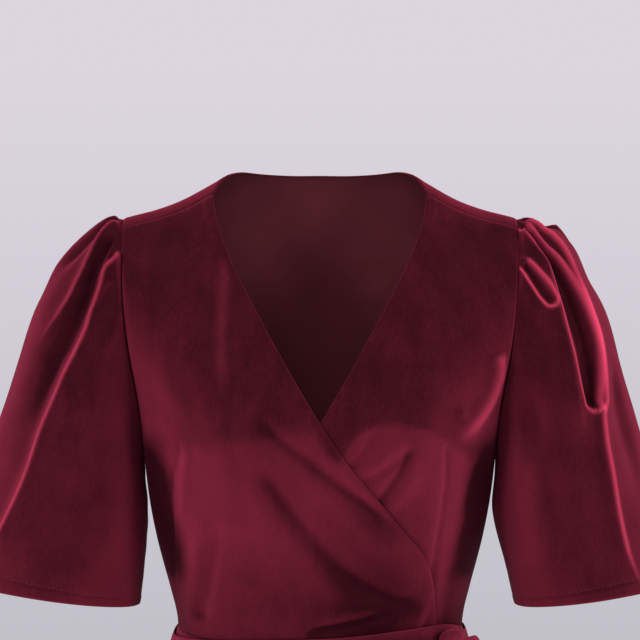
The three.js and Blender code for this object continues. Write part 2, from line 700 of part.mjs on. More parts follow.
// The belt's inner face round the waist, standing clear of what lies under it
function beltPoint(turn, z) {
  const front = Math.sin(turn) > 0;
  const edge = 1 - soft((turn / RADIANS - 146) / 22);
  const lap = front ? waistLap(turn) * edge : 0;
  const p = z > WAIST_Z ? torsoPoint(front, 0, z) : skirtPoint(turn, z);
  const half = z > WAIST_Z ? read(TORSO, 'z', z, 'half') : read(SKIRT, 'z', z, 'half');
  const depth = Math.abs(z > WAIST_Z ? p.y : read(SKIRT, 'z', z, front ? 'front' : 'back'));
  const out = BELT.clear + lap;
  const round = Math.abs(Math.sin(turn)) ** (2 / ROUNDNESS);
  return point(-(half + out) * bent(turn), (front ? -1 : 1) * (depth + out) * round, z);
}

function belt() {
  const outer = [];
  const inner = [];
  for (let r = 0; r <= GRID.ribbonColumns; r += 1) {
    const outerRow = [];
    const innerRow = [];
    for (let c = 0; c < GRID.beltColumns; c += 1) {
      const turn = (c / GRID.beltColumns) * 2 * Math.PI;
      const middle = read(BELT_LINE, 'turn', turn / RADIANS, 'z');
      const z = middle + BELT.width * (0.5 - r / GRID.ribbonColumns);
      const p = beltPoint(turn, z);
      const normal = point(p.x / 134 ** 2, p.y / 92 ** 2, 0).normalize();
      innerRow.push(p);
      outerRow.push(p.clone().addScaledVector(normal, BELT.thick));
    }
    outer.push(outerRow);
    inner.push(innerRow);
  }
  add('belt_band', wall(outer, inner, true), VELVET.belt);
}

// The place of the knot on the belt's outer face
function knotPlace() {
  const turn = Math.PI - unbent(KNOT.x / (133.5 + BELT.clear + LAP));
  const p = beltPoint(turn, KNOT.z);
  const normal = point(p.x / 134 ** 2, p.y / 92 ** 2, 0).normalize();
  return { place: p.addScaledVector(normal, BELT.thick + KNOT.clear), normal };
}

// The knot: a rounded lump with a wrap round its middle, flat against the belt
function knot() {
  const { place, normal } = knotPlace();
  const sideways = point(-normal.y, normal.x, 0);
  const outer = [];
  for (let r = 1; r < GRID.knotRings; r += 1) {
    const lift = (r / GRID.knotRings) * Math.PI;
    const row = [];
    for (let c = 0; c < GRID.knotColumns; c += 1) {
      const turn = (c / GRID.knotColumns) * 2 * Math.PI;
      const ripple = 1 + 0.07 * Math.cos(3 * turn + 1) * Math.sin(lift) - 0.1 * bell((lift - 1.2) / 0.25);
      const wide = Math.sign(Math.cos(turn)) * Math.abs(Math.cos(turn)) ** 0.75;
      const deep = Math.sign(Math.sin(turn)) * Math.abs(Math.sin(turn)) ** 0.75;
      const p = place.clone();
      p.addScaledVector(sideways, (KNOT.wide / 2) * wide * Math.sin(lift) ** 0.6 * ripple);
      const bulge = deep * Math.sin(lift) ** 0.6 * (deep < 0 ? 1 : ripple);
      p.addScaledVector(normal, (KNOT.deep / 2) * (1 + bulge));
      p.z += (KNOT.high / 2) * Math.cos(lift);
      row.push(p);
    }
    outer.push(row);
  }
  add('tie_knot', capped(outer), VELVET.belt);
}

// Closes a stack of rings with a point at each end
function capped(rings) {
  const columns = rings[0].length;
  const positions = [];
  const middle = (row) => row.reduce((sum, p) => sum.add(p), point(0, 0, 0)).divideScalar(columns);
  for (const row of rings) for (const p of row) positions.push(p.x, p.y, p.z);
  const ends = [middle(rings[0]), middle(rings[rings.length - 1])];
  for (const p of ends) positions.push(p.x, p.y, p.z);
  const index = [];
  for (let r = 0; r < rings.length - 1; r += 1) {
    for (let c = 0; c < columns; c += 1) {
      const a = r * columns + c;
      const b = r * columns + ((c + 1) % columns);
      index.push(a, b, b + columns, a, b + columns, a + columns);
    }
  }
  const first = rings.length * columns;
  const lastRow = (rings.length - 1) * columns;
  for (let c = 0; c < columns; c += 1) {
    const next = (c + 1) % columns;
    index.push(first, next, c, first + 1, lastRow + c, lastRow + next);
  }
  const geometry = new THREE.BufferGeometry();
  geometry.setAttribute('position', new THREE.Float32BufferAttribute(positions, 3));
  geometry.setIndex(index);
  return geometry;
}

// A ribbon along a curve: its width stays across the given direction, its wall is BELT.thick
function ribbon(curve, steps, wide, acrossAt, thick) {
  const outer = [];
  const inner = [];
  for (let i = 0; i <= steps; i += 1) {
    const t = i / steps;
    const middle = curve.getPointAt(t);
    const along = curve.getTangentAt(t);
    const sideways = acrossAt(t, along).normalize();
    const normal = along.clone().cross(sideways).normalize();
    const outerRow = [];
    const innerRow = [];
    for (let c = 0; c <= GRID.ribbonColumns; c += 1) {
      const off = (c / GRID.ribbonColumns - 0.5) * wide(t);
      const p = middle.clone().addScaledVector(sideways, off);
      outerRow.push(p.clone().addScaledVector(normal, thick / 2));
      innerRow.push(p.addScaledVector(normal, -thick / 2));
    }
    outer.push(outerRow);
    inner.push(innerRow);
  }
  return wall(outer, inner, false);
}

// A place off the front of the dress: its turn round the waist, height, and distance out
function offFront(turn, z, out) {
  const p = z > WAIST_Z ? beltPoint(turn, z) : skirtPoint(turn, z);
  return p.addScaledVector(skirtOutward(turn, Math.min(z, WAIST_Z)), out);
}

function bowLoops() {
  for (const [hand, loop] of Object.entries(LOOPS)) {
    const points = loop.path.map((r) => offFront(r.turn * RADIANS, r.z, r.out));
    const curve = new THREE.CatmullRomCurve3(points, false, 'centripetal');
    const middle = loop.path[2].turn * RADIANS;
    const round = skirtPoint(middle + 0.01, WAIST_Z).sub(skirtPoint(middle - 0.01, WAIST_Z)).normalize();
    const upright = round.multiplyScalar(-Math.sin(loop.droop * RADIANS));
    upright.z = Math.cos(loop.droop * RADIANS);
    const width = (t) => BELT.width * mix(0.45, 0.95, soft(Math.min(t, 1 - t) / 0.3));
    add(`bow_loop_${hand}`, ribbon(curve, GRID.loopSteps, width, () => upright.clone(), RIBBON),
      VELVET.belt);
  }
}

// A tail hangs from the knot over the skirt's front
function tails() {
  for (const tail of TAILS) {
    const placeAt = (t) => {
      const z = mix(KNOT.z - KNOT.high / 2 - tail.below, tail.z1, t);
      const x = mix(tail.x0, tail.x1, soft(t * 1.1)) + tail.wave * Math.sin(t * Math.PI * 2) * t;
      return { turn: Math.PI - unbent(x / read(SKIRT, 'z', z, 'half')), z };
    };
    const points = [];
    for (let i = 0; i <= 10; i += 1) {
      const { turn, z } = placeAt(i / 10);
      const out = mix(tail.start, LAP + tail.out, soft(i / 1.5));
      points.push(offFront(turn, z, skirtFold(turn, z) + out));
    }
    const curve = new THREE.CatmullRomCurve3(points, false, 'centripetal');
    const level = (t) => {
      const { turn, z } = placeAt(t);
      return skirtPoint(turn + 0.02, z).sub(skirtPoint(turn - 0.02, z));
    };
    const width = (t) => BELT.width * mix(0.3, 1, soft(t / 0.15));
    add(tail.name, ribbon(curve, GRID.tailSteps, width, level, RIBBON), VELVET.belt);
  }
}

bodiceFronts();
bodiceBack();
sleeves();
skirt();
belt();
knot();
bowLoops();
tails();

export default group;
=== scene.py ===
import math

import bmesh
import bpy
import numpy as np

from mathutils import Matrix, Vector


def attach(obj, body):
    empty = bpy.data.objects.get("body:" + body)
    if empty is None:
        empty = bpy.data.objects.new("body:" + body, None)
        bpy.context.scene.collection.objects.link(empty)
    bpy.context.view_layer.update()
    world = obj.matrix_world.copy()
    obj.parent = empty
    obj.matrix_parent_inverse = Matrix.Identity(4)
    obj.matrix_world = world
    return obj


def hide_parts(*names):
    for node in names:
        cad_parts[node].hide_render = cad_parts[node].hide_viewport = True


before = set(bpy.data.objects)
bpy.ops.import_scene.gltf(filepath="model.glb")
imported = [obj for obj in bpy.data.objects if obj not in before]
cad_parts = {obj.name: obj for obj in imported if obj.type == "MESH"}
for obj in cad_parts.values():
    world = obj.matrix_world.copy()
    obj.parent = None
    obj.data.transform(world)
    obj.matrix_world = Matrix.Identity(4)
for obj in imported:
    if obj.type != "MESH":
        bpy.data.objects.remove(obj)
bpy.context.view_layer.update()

MM = 0.001

# Sizes and tables in millimetres, as in the CAD model
CLOTH = 1.3
LAP = 2.8
CHEST_Z = -240
WAIST_Z = -405
HEM_Z = -965
ROUNDNESS = 2.3
FRONT_SLOPE = 1.35
BUST_X, BUST_Z, BUST_OUT, BUST_WIDE, BUST_TALL = 78, -222, 9, 40, 46
BELT_WIDTH, BELT_THICK, BELT_CLEAR = 36, 2.4, 1.4
SHOULDER_SEAM_TURN = 21.6


def table(names, *rows):
    return {name: np.array(column, float) for name, column in zip(names.split(), zip(*rows))}


TORSO = table(
    "z half front back",
    (-430, 136, 95, 87), (-405, 133.5, 93, 84), (-387, 135.5, 94, 84.5), (-364, 141, 96.5, 86),
    (-342, 147, 99.5, 88.5), (-319, 152.5, 103.5, 91.5), (-280, 159.5, 110, 97), (-240, 164, 113, 100),
)
SKIRT = table(
    "z half front back fold",
    (-965, 318, 262, 268, 13), (-860, 288, 232, 236, 11), (-740, 250, 194, 200, 8.5),
    (-620, 208, 155, 163, 5.5), (-530, 177, 128, 136, 3), (-470, 154, 110, 112, 1.2),
    (-430, 139.5, 98, 92, 0), (-405, 133.5, 93, 84, 0),
)
YOKE = table(
    "rise half",
    (0, 164), (8, 167.5), (15, 175), (33, 204), (43, 216), (60, 243), (75, 277), (90, 320),
)
CREST = table(
    "x z slope",
    (0, 30, 0.5), (40, 28, 0.55), (70, 22, 0.68), (87, 15, 0.78), (100, 7, 0.84),
    (127, -7.5, 0.9), (150, -16, 0.95), (175, -22.5, 1), (205, -32, 1),
)
FRONT_EDGE = table(
    "z reach",
    (-405, -104), (-372, -103), (-345, -100), (-322, -91), (-296, -71), (-272, -53), (-250, -34),
    (-224, -14), (-201, 1), (-142, 35.5), (-98, 60), (-62, 79), (-27, 93), (0, 99.5), (12, 101),
)
ARMHOLE = table(
    "z x",
    (-255, 162.9), (-240, 164), (-225, 164.4), (-206, 165.5), (-180, 168.5), (-151, 173),
    (-124, 176.5), (-93, 179.5), (-52, 181.5), (-20, 182.5),
)
BACK_TOP = table(
    "x turn",
    (0, -28), (35, -26.5), (60, -20), (80, -6), (91, 8), (99.5, 21.6), (103, 21.6), (205, 21.6),
)
SLEEVE_OUTER = table(
    "s x z",
    (0, 183, -22), (0.04, 196, -24), (0.09, 213, -37), (0.16, 233, -58), (0.24, 250, -83),
    (0.33, 265, -110), (0.45, 281, -158), (0.6, 300, -218), (0.8, 324, -292), (1, 348, -358),
)
SLEEVE_INNER = table(
    "s right left z",
    (0, 164.3, 164.3, -240), (0.2, 163.6, 163.6, -264), (0.4, 161.5, 161.5, -296),
    (0.6, 162.5, 167.5, -325), (0.8, 165.5, 176, -356), (1, 169.5, 183, -387),
)
SLEEVE_DEPTH = table(
    "s front back lift",
    (0, 52, 52, 0), (0.12, 60, 62, 0), (0.3, 68, 70, 2), (0.6, 73, 76, 5), (1, 78, 82, 7),
)


def mix(a, b, t):
    return a + (b - a) * t


def soft(t):
    t = np.clip(t, 0, 1)
    return t * t * (3 - 2 * t)


def bell(t):
    return np.exp(-np.square(t))


def read(rows, key, at, column):
    """Smooth value of a table's column at a place in its key column."""
    k, c = rows[key], rows[column]
    at = np.asarray(at, float)
    order, place = (k, at) if k[-1] > k[0] else (-k, -at)
    i = np.clip(np.searchsorted(order, place, side="right") - 1, 0, len(k) - 2)
    before, after = np.maximum(np.arange(len(k)) - 1, 0), np.minimum(np.arange(len(k)) + 1, len(k) - 1)
    slope = (c[after] - c[before]) / (k[after] - k[before])
    span = k[i + 1] - k[i]
    t = np.clip((at - k[i]) / span, 0, 1)
    return (
        (2 * t**3 - 3 * t**2 + 1) * c[i] + (t**3 - 2 * t**2 + t) * span * slope[i]
        + (3 * t**2 - 2 * t**3) * c[i + 1] + (t**3 - t**2) * span * slope[i + 1]
    )


def across(x, half):
    return (1 - np.minimum(1, np.abs(x / half)) ** ROUNDNESS) ** (1 / ROUNDNESS)


def bent(turn):
    return np.sign(np.cos(turn)) * np.abs(np.cos(turn)) ** (2 / ROUNDNESS)


def unbent(c):
    return np.arccos(np.sign(c) * np.minimum(1, np.abs(c)) ** (ROUNDNESS / 2))


def rise_of(turn):
    return np.degrees(np.arcsin(np.cos(np.radians(turn) / 2) ** 2))


def stack(x, y, z):
    return np.stack(np.broadcast_arrays(x, y, z), axis=-1).astype(float)


def bust_out(x, z):
    side = bell((x - BUST_X) / BUST_WIDE) + bell((x + BUST_X) / BUST_WIDE)
    return BUST_OUT * bell((z - BUST_Z) / BUST_TALL) * side


def torso_point(front, x, z):
    round_ = across(x, read(TORSO, "z", z, "half"))
    depth = round_ * read(TORSO, "z", z, "front" if front else "back")
    return stack(x, -depth - bust_out(x, z) * round_ if front else depth, z)


def yoke_point(front, x, rise):
    """A point above the chest; past 90 degrees the back has come over the crest to the front."""
    on_front = np.logical_or(front, rise > 90)
    lift = np.where(rise > 90, 180 - rise, rise)
    crest = read(CREST, "x", np.abs(x), "z")
    half = read(YOKE, "rise", lift, "half")
    z = CHEST_Z + (crest - CHEST_Z) * np.sin(np.radians(lift))
    slope = np.where(on_front, FRONT_SLOPE, read(CREST, "x", np.abs(x), "slope"))
    fall = np.maximum(1e-9, np.cos(np.radians(lift))) ** slope
    depth = np.where(on_front, TORSO["front"][-1], TORSO["back"][-1]) * across(x, half) * fall
    y = np.where(on_front, -depth - bust_out(x, z) * across(x, half), depth)
    return stack(x, y, z)


def outer_width(z):
    return np.where(z < CHEST_Z, read(TORSO, "z", z, "half"), read(ARMHOLE, "z", z, "x"))


def panel_rows(lower, upper):
    """Heights of a panel's rows: -1 at the waist, 0 at the chest, 1 at the shoulder."""
    return np.concatenate([-np.arange(lower, 0, -1) / lower, np.sqrt(np.arange(upper + 1) / upper)])


def front_grid(side, lower, upper, columns):
    """A front's plain surface; u runs from the side seam or armhole to the front edge."""
    v, u = np.meshgrid(panel_rows(lower, upper), np.arange(columns + 1) / columns, indexing="ij")
    below = v < 0
    rise = rise_of(mix(180, SHOULDER_SEAM_TURN + 0.15, np.maximum(v, 0)))
    z = np.where(below, mix(CHEST_Z, WAIST_Z + 0.2, -v), CHEST_Z)
    for _ in range(7):
        outer = outer_width(z)
        inner = read(FRONT_EDGE, "z", z, "reach")
        x = side * outer * bent(mix(0.002, unbent(inner / outer), u))
        z = np.where(below, z, yoke_point(True, x, rise)[..., 2])
    grid = np.where(below[..., None], torso_point(True, x, z), yoke_point(True, x, rise))
    return u, v, eased(grid, lower)


def back_grid(lower, upper, columns):
    v, u = np.meshgrid(panel_rows(lower, upper), np.arange(columns + 1) / columns, indexing="ij")
    turn = mix(0.002, math.pi - 0.002, u)
    below = v < 0
    z = np.where(below, mix(CHEST_Z, WAIST_Z + 0.2, -v), CHEST_Z)
    rise = np.zeros_like(u)
    for _ in range(9):
        x = -outer_width(z) * bent(turn)
        top = np.minimum(read(BACK_TOP, "x", np.abs(x), "turn"), SHOULDER_SEAM_TURN) - 0.15
        over = mix(-180, top, np.maximum(v, 0))
        rise = np.where(over > 0, 180 - rise_of(over), rise_of(over))
        z = np.where(below, z, yoke_point(False, x, rise)[..., 2])
    grid = np.where(below[..., None], torso_point(False, x, z), yoke_point(False, x, rise))
    return u, v, eased(grid, lower)


def eased(grid, chest_row, reach=9, passes=40):
    """Rounds off the change of slope at the chest line."""
    grid = grid.copy()
    rows = np.arange(len(grid))
    weight = (0.5 * bell((rows - chest_row) / reach))[1:-1, None, None]
    for _ in range(passes):
        middle = (grid[:-2] + grid[2:]) / 2
        grid[1:-1] += weight * (middle - grid[1:-1])
    return grid


def normals_of(grid, closed=False):
    """Unit normals of a grid of points from its neighbours; rings closed round wrap."""
    if closed:
        du = np.roll(grid, -1, axis=1) - np.roll(grid, 1, axis=1)
    else:
        du = np.gradient(grid, axis=1)
    dv = np.gradient(grid, axis=0)
    n = np.cross(du, dv)
    return n / (np.linalg.norm(n, axis=-1, keepdims=True) + 1e-12)


def spline(points, count):
    """Evenly spread samples of a smooth line through rows of any number of columns."""
    p = np.asarray(points, float)
    if len(p) == 2:
        return mix(p[0], p[1], np.linspace(0, 1, count)[:, None])
    q = np.vstack([2 * p[0] - p[1], p, 2 * p[-1] - p[-2]])
    out = []
    for i in range(len(p) - 1):
        a, b, c, d = q[i:i + 4]
        t = np.linspace(0, 1, 24, endpoint=False)[:, None]
        out.append(0.5 * (2 * b + (c - a) * t + (2 * a - 5 * b + 4 * c - d) * t**2 + (3 * b - a - 3 * c + d) * t**3))
    line = np.vstack(out + [p[-1:]])
    step = np.concatenate([[0], np.cumsum(np.linalg.norm(np.diff(line, axis=0), axis=1))])
    at = np.linspace(0, step[-1], count)
    return np.stack([np.interp(at, step, line[:, k]) for k in range(line.shape[1])], axis=1)


def armhole_curve(side, turn):
    """The armhole seam: turn 0 is the tip of the shoulder, plus to the front, 180 the underarm."""
    turn = np.asarray(turn, float)
    front = ((turn + 180) % 360) - 180 > 0
    z = np.full(turn.shape, float(CHEST_Z))
    for _ in range(7):
        x = side * read(ARMHOLE, "z", z, "x")
        p = np.where(front[..., None], yoke_point(True, x, rise_of(turn)), yoke_point(False, x, rise_of(turn)))
        z = p[..., 2]
    return p


def sleeve_ring(side, turn, s):
    hand = "right" if side < 0 else "left"
    tx, tz = side * read(SLEEVE_OUTER, "s", s, "x"), read(SLEEVE_OUTER, "s", s, "z")
    bx, bz = side * read(SLEEVE_INNER, "s", s, hand), read(SLEEVE_INNER, "s", s, "z")
    forward, up = np.sin(np.radians(turn)), np.cos(np.radians(turn))
    depth = np.where(forward > 0, read(SLEEVE_DEPTH, "s", s, "front"), read(SLEEVE_DEPTH, "s", s, "back"))
    lift = read(SLEEVE_DEPTH, "s", s, "lift") * np.maximum(0, forward)
    return stack((tx + bx) / 2 + (tx - bx) / 2 * up, -depth * forward, (tz + bz) / 2 + (tz - bz) / 2 * up + lift)


def sleeve_base(side, turn, s):
    start = armhole_curve(side, turn)
    start[..., 0] += side * 0.35
    shift = (start - sleeve_ring(side, turn, np.zeros_like(s))) * (1 - soft(s / 0.3))[..., None]
    return sleeve_ring(side, turn, s) + shift


# Folds of the sleeves: lines by turn (degrees from the outer line, plus to the front) and by the
# distance s along the sleeve, each point with the fold's half width in mm
# the brightness given with a fold is painted light: a painted highlight along its crest or a pocket's rim, painted
# shade where it is below zero
SLEEVE_LINES = {
    "right": (
        # upper ridge of the cap, its pocket, and the long sharp ridge down to the hem
        dict(out=6.5, fade=(10, 60), skew=(1.5, 0.55), crest=1.15, painted_brightness=(0.28, 1.4), line=((12, 0.008, 5), (28, 0.068, 6), (35, 0.096, 7), (42, 0.136, 8),
                                                       (46, 0.196, 9), (42, 0.316, 13), (35, 0.376, 16))),
        dict(out=-8, fade=(10, 90), skew=(0.8, 1.5), painted_brightness=(-0.1, 9), line=((32, 0.02, 4), (44, 0.072, 6), (55, 0.118, 8), (60, 0.18, 10),
                                                          (60, 0.3, 12), (57, 0.42, 13), (52, 0.56, 14))),
        dict(out=9, fade=(8, 60), skew=(2.1, 0.4), crest=1.1, painted_brightness=(0.36, 1.6), line=((42, 0.004, 4), (48, 0.02, 5), (52, 0.052, 6), (59, 0.076, 6.5),
                                                           (65, 0.12, 7), (70, 0.18, 7.5), (70, 0.336, 9), (66, 0.488, 11),
                                                           (64, 0.648, 13), (58, 0.832, 17), (54, 1.0, 21))),
        # small pleats at the seam
        dict(out=-4, fade=(6, 14), skew=(1, 1), line=((61, 0.03, 4), (66, 0.065, 5), (69, 0.1, 5))),
        dict(out=3, fade=(6, 24), skew=(1, 1.4), line=((76, 0.02, 5), (84, 0.07, 6), (90, 0.13, 8))),
        dict(out=-3.5, fade=(5, 26), skew=(1, 1), line=((2, 0.012, 4), (14, 0.07, 5), (18, 0.13, 6), (16, 0.2, 8))),
        dict(out=4, fade=(5, 40), skew=(1, 1), line=((-8, 0.012, 6), (-4, 0.09, 8), (0, 0.18, 10), (2, 0.3, 13))),
        # broad swells of the flare
        dict(out=4, fade=(60, 60), skew=(1, 1), line=((118, 0.42, 16), (122, 0.7, 20), (126, 1.0, 24))),
        dict(out=-3, fade=(60, 60), skew=(1, 1), line=((92, 0.45, 14), (93, 0.7, 17), (95, 1.0, 20))),
        dict(out=3, fade=(60, 60), skew=(1, 1), line=((20, 0.5, 16), (16, 0.75, 20), (12, 1.0, 24))),
    ),
    "left": (
        # outer ridge over the cap, the deep pocket that ends in a round bottom, the ridge before it
        dict(out=8, fade=(10, 60), skew=(1.5, 0.42), crest=1.1, painted_brightness=(0.5, 1.5), line=((12, 0.01, 5), (19, 0.07, 6), (25, 0.13, 6), (33, 0.19, 6),
                                                         (38.5, 0.25, 6.5), (44.8, 0.336, 7), (51.5, 0.404, 7), (58, 0.455, 8),
                                                         (63, 0.53, 8), (66, 0.616, 9), (70, 0.724, 11), (72, 0.812, 14),
                                                         (72, 0.88, 17), (69, 1.0, 24))),
        dict(out=-11, fade=(6, 1), skew=(1, 1), pocket=True, painted_brightness=(0.5, 1.5), line=((19, 0.008, 4), (33, 0.06, 5), (37, 0.112, 6.5),
                                                                  (44.4, 0.172, 9.2), (51, 0.248, 11), (56, 0.332, 11.5),
                                                                  (59.4, 0.39, 10.4), (61.2, 0.425, 9))),
        dict(out=7, fade=(8, 50), skew=(0.65, 1.6), crest=1.5, line=((24, 0.004, 4), (38, 0.044, 5), (44, 0.08, 5.5), (54, 0.112, 6),
                                                       (60, 0.148, 6.5), (65, 0.19, 7), (72, 0.308, 8), (75, 0.404, 10),
                                                       (80, 0.5, 14))),
        dict(out=10, fade=(10, 60), skew=(1, 1), line=((-2, 0.07, 13), (-2, 0.11, 20), (0, 0.15, 24), (0, 0.25, 26))),
        dict(out=-3.5, fade=(70, 70), skew=(1, 1), line=((0, 0.34, 22), (0, 0.55, 26), (0, 0.85, 28))),
        # small pocket by the seam and its near rim
        dict(out=-6.5, fade=(4, 1), skew=(1, 1), pocket=True, painted_brightness=(0.55, 1.4), line=((50, 0.012, 4.5), (55, 0.05, 5.5), (58, 0.088, 6),
                                                                 (59, 0.116, 5.5))),
        dict(out=3, fade=(4, 20), skew=(1, 1.6), line=((56, 0.008, 4), (67, 0.06, 4.5), (71, 0.112, 5), (73, 0.16, 8))),
        # outer pleats at the top
        dict(out=-3.6, fade=(6, 26), skew=(1, 0.8), painted_brightness=(-0.12, 4), line=((12, 0.01, 3.5), (9, 0.06, 4.5), (2, 0.12, 5), (-4, 0.17, 6))),
        dict(out=1.5, fade=(5, 50), skew=(1, 1), line=((-2, 0.01, 6), (-8, 0.09, 8), (-12, 0.18, 10), (-14, 0.3, 13))),
        dict(out=-3, fade=(30, 60), skew=(1, 1), line=((34, 0.4, 8), (44, 0.5, 9), (46, 0.62, 11), (46, 0.8, 14))),
        # upright swell near the body, paler by a faint painted highlight, and the hollow beside it
        dict(out=4, fade=(50, 80), skew=(1, 1), painted_brightness=(0.06, 13), line=((118, 0.16, 9), (125, 0.4, 12), (131, 0.66, 15), (140, 0.95, 18))),
        dict(out=-4, fade=(40, 90), skew=(1, 1.2), line=((100, 0.1, 9), (108, 0.3, 13), (110, 0.6, 17), (112, 0.85, 19))),
    ),
}
# Behind the arm the sleeves fall in the same kind of pleats
SLEEVE_BACK_LINES = (
    dict(out=5, fade=(10, 80), skew=(1, 1.5), line=((-30, 0.008, 5), (-38, 0.09, 7), (-46, 0.2, 9), (-52, 0.4, 12), (-56, 0.7, 15))),
    dict(out=-6, fade=(8, 60), skew=(1, 1), line=((-20, 0.01, 4), (-28, 0.09, 6), (-33, 0.2, 8), (-38, 0.42, 11))),
    dict(out=5.5, fade=(8, 60), skew=(1.6, 0.8), line=((-54, 0.01, 5), (-64, 0.08, 6), (-72, 0.2, 8), (-78, 0.5, 12), (-80, 1.0, 19))),
    dict(out=-5, fade=(8, 40), skew=(1, 1), line=((-43, 0.01, 4), (-52, 0.08, 6), (-60, 0.2, 8), (-66, 0.36, 10))),
    dict(out=-3.5, fade=(50, 60), skew=(1, 1), line=((-100, 0.3, 13), (-104, 0.6, 17), (-106, 1.0, 22))),
    dict(out=4, fade=(60, 60), skew=(1, 1), line=((-128, 0.3, 13), (-132, 0.6, 17), (-134, 1.0, 22))),
)


def to_line(points, line, widths):
    """Distance from each point to a sampled line, the place along it in mm, the side and the width there."""
    flat = points.reshape(-1, points.shape[-1])
    best = np.full(len(flat), 1e9)
    nearest = np.zeros(len(flat), int)
    for i, q in enumerate(line):
        d = np.linalg.norm(flat - q, axis=1)
        closer = d < best
        best[closer] = d[closer]
        nearest[closer] = i
    # slide to the foot on the neighbouring stretch
    i = np.clip(nearest, 1, len(line) - 2)
    tangent = line[i + 1] - line[i - 1]
    step = np.linalg.norm(tangent, axis=1) / 2
    unit = tangent / (2 * step[:, None] + 1e-9)
    offset = flat - line[nearest]
    slide = np.clip(np.einsum("ij,ij->i", offset, unit), -0.5 * step, 0.5 * step)
    lengths = np.concatenate([[0], np.cumsum(np.linalg.norm(np.diff(line, axis=0), axis=1))])
    foot = offset - unit * slide[:, None]
    along = lengths[nearest] + slide
    width = np.interp(along, lengths, widths)
    shape = points.shape[:-1]
    return (np.linalg.norm(foot, axis=1).reshape(shape), along.reshape(shape), lengths[-1],
            foot.reshape(points.shape), unit.reshape(points.shape), width.reshape(shape))


def fold_shape(points, normals, fold, line, widths):
    """Height and painted light of one fold: a ridge or trough, or a pocket with a round bottom and a flat floor.
    Its painted brightness is an amount and the mm to each side: above zero a painted highlight along the crest or the
    pocket's rim, below zero painted shade."""
    d, along, length, foot, unit, width = to_line(points, line, widths)
    side = np.einsum("...i,...i->...", np.cross(unit, foot), normals)
    first, second = fold["skew"]
    width = width * np.where(side > 0, first, second)
    start, end = fold["fade"]
    begin = soft((along + 1) / start)
    ends = begin * soft((length - along + 1) / end)
    painted_brightness, reach = fold.get("painted_brightness", (0, 1))
    if fold.get("pocket"):
        floor = 1 - soft((d / width - 0.35) / 0.85)
        lip = 0.16 * bell((d / width - 1.25) / 0.3)
        return fold["out"] * (floor - lip) * begin, painted_brightness * bell((d - 1.12 * width) / reach) * begin
    crest = np.exp(-np.abs(d / width) ** fold.get("crest", 2))
    return fold["out"] * crest * ends, painted_brightness * bell(d / reach) * ends


def fine_noise(x, y, seed, scale):
    """Smooth seeded waviness, a sum of a few slanted waves."""
    rng = np.random.default_rng(seed)
    total = np.zeros(np.broadcast(x, y).shape)
    for k in range(6):
        a, phase = rng.uniform(0, 2 * math.pi, 2)
        size = scale * rng.uniform(0.7, 1.6)
        total = total + np.sin((x * math.cos(a) + y * math.sin(a)) * 2 * math.pi / size + phase) / 6
    return total


# Where the painted highlight begins under the bust, and over how many mm
BUST_PAINT_EDGE = table(
    "x z soft",
    (-170, -224, 26), (-110, -214, 22), (-60, -205, 20), (-6, -201, 18), (14, -231, 10), (32, -209, 7),
    (60, -200, 6), (93, -204, 6), (110, -213, 8), (130, -226, 14), (165, -240, 26),
)
# painted light on the fronts: a highlight below the bust that fades low down, and painted shade on the lap and beside
# the arms
BUST_PAINTED_HIGHLIGHT, LOW_PAINTED_LIGHT, LAP_SHADE, SIDE_SHADE, SHOULDER_PAINTED_HIGHLIGHT = 0.055, -0.005, 0.06, 0.58, 0.04

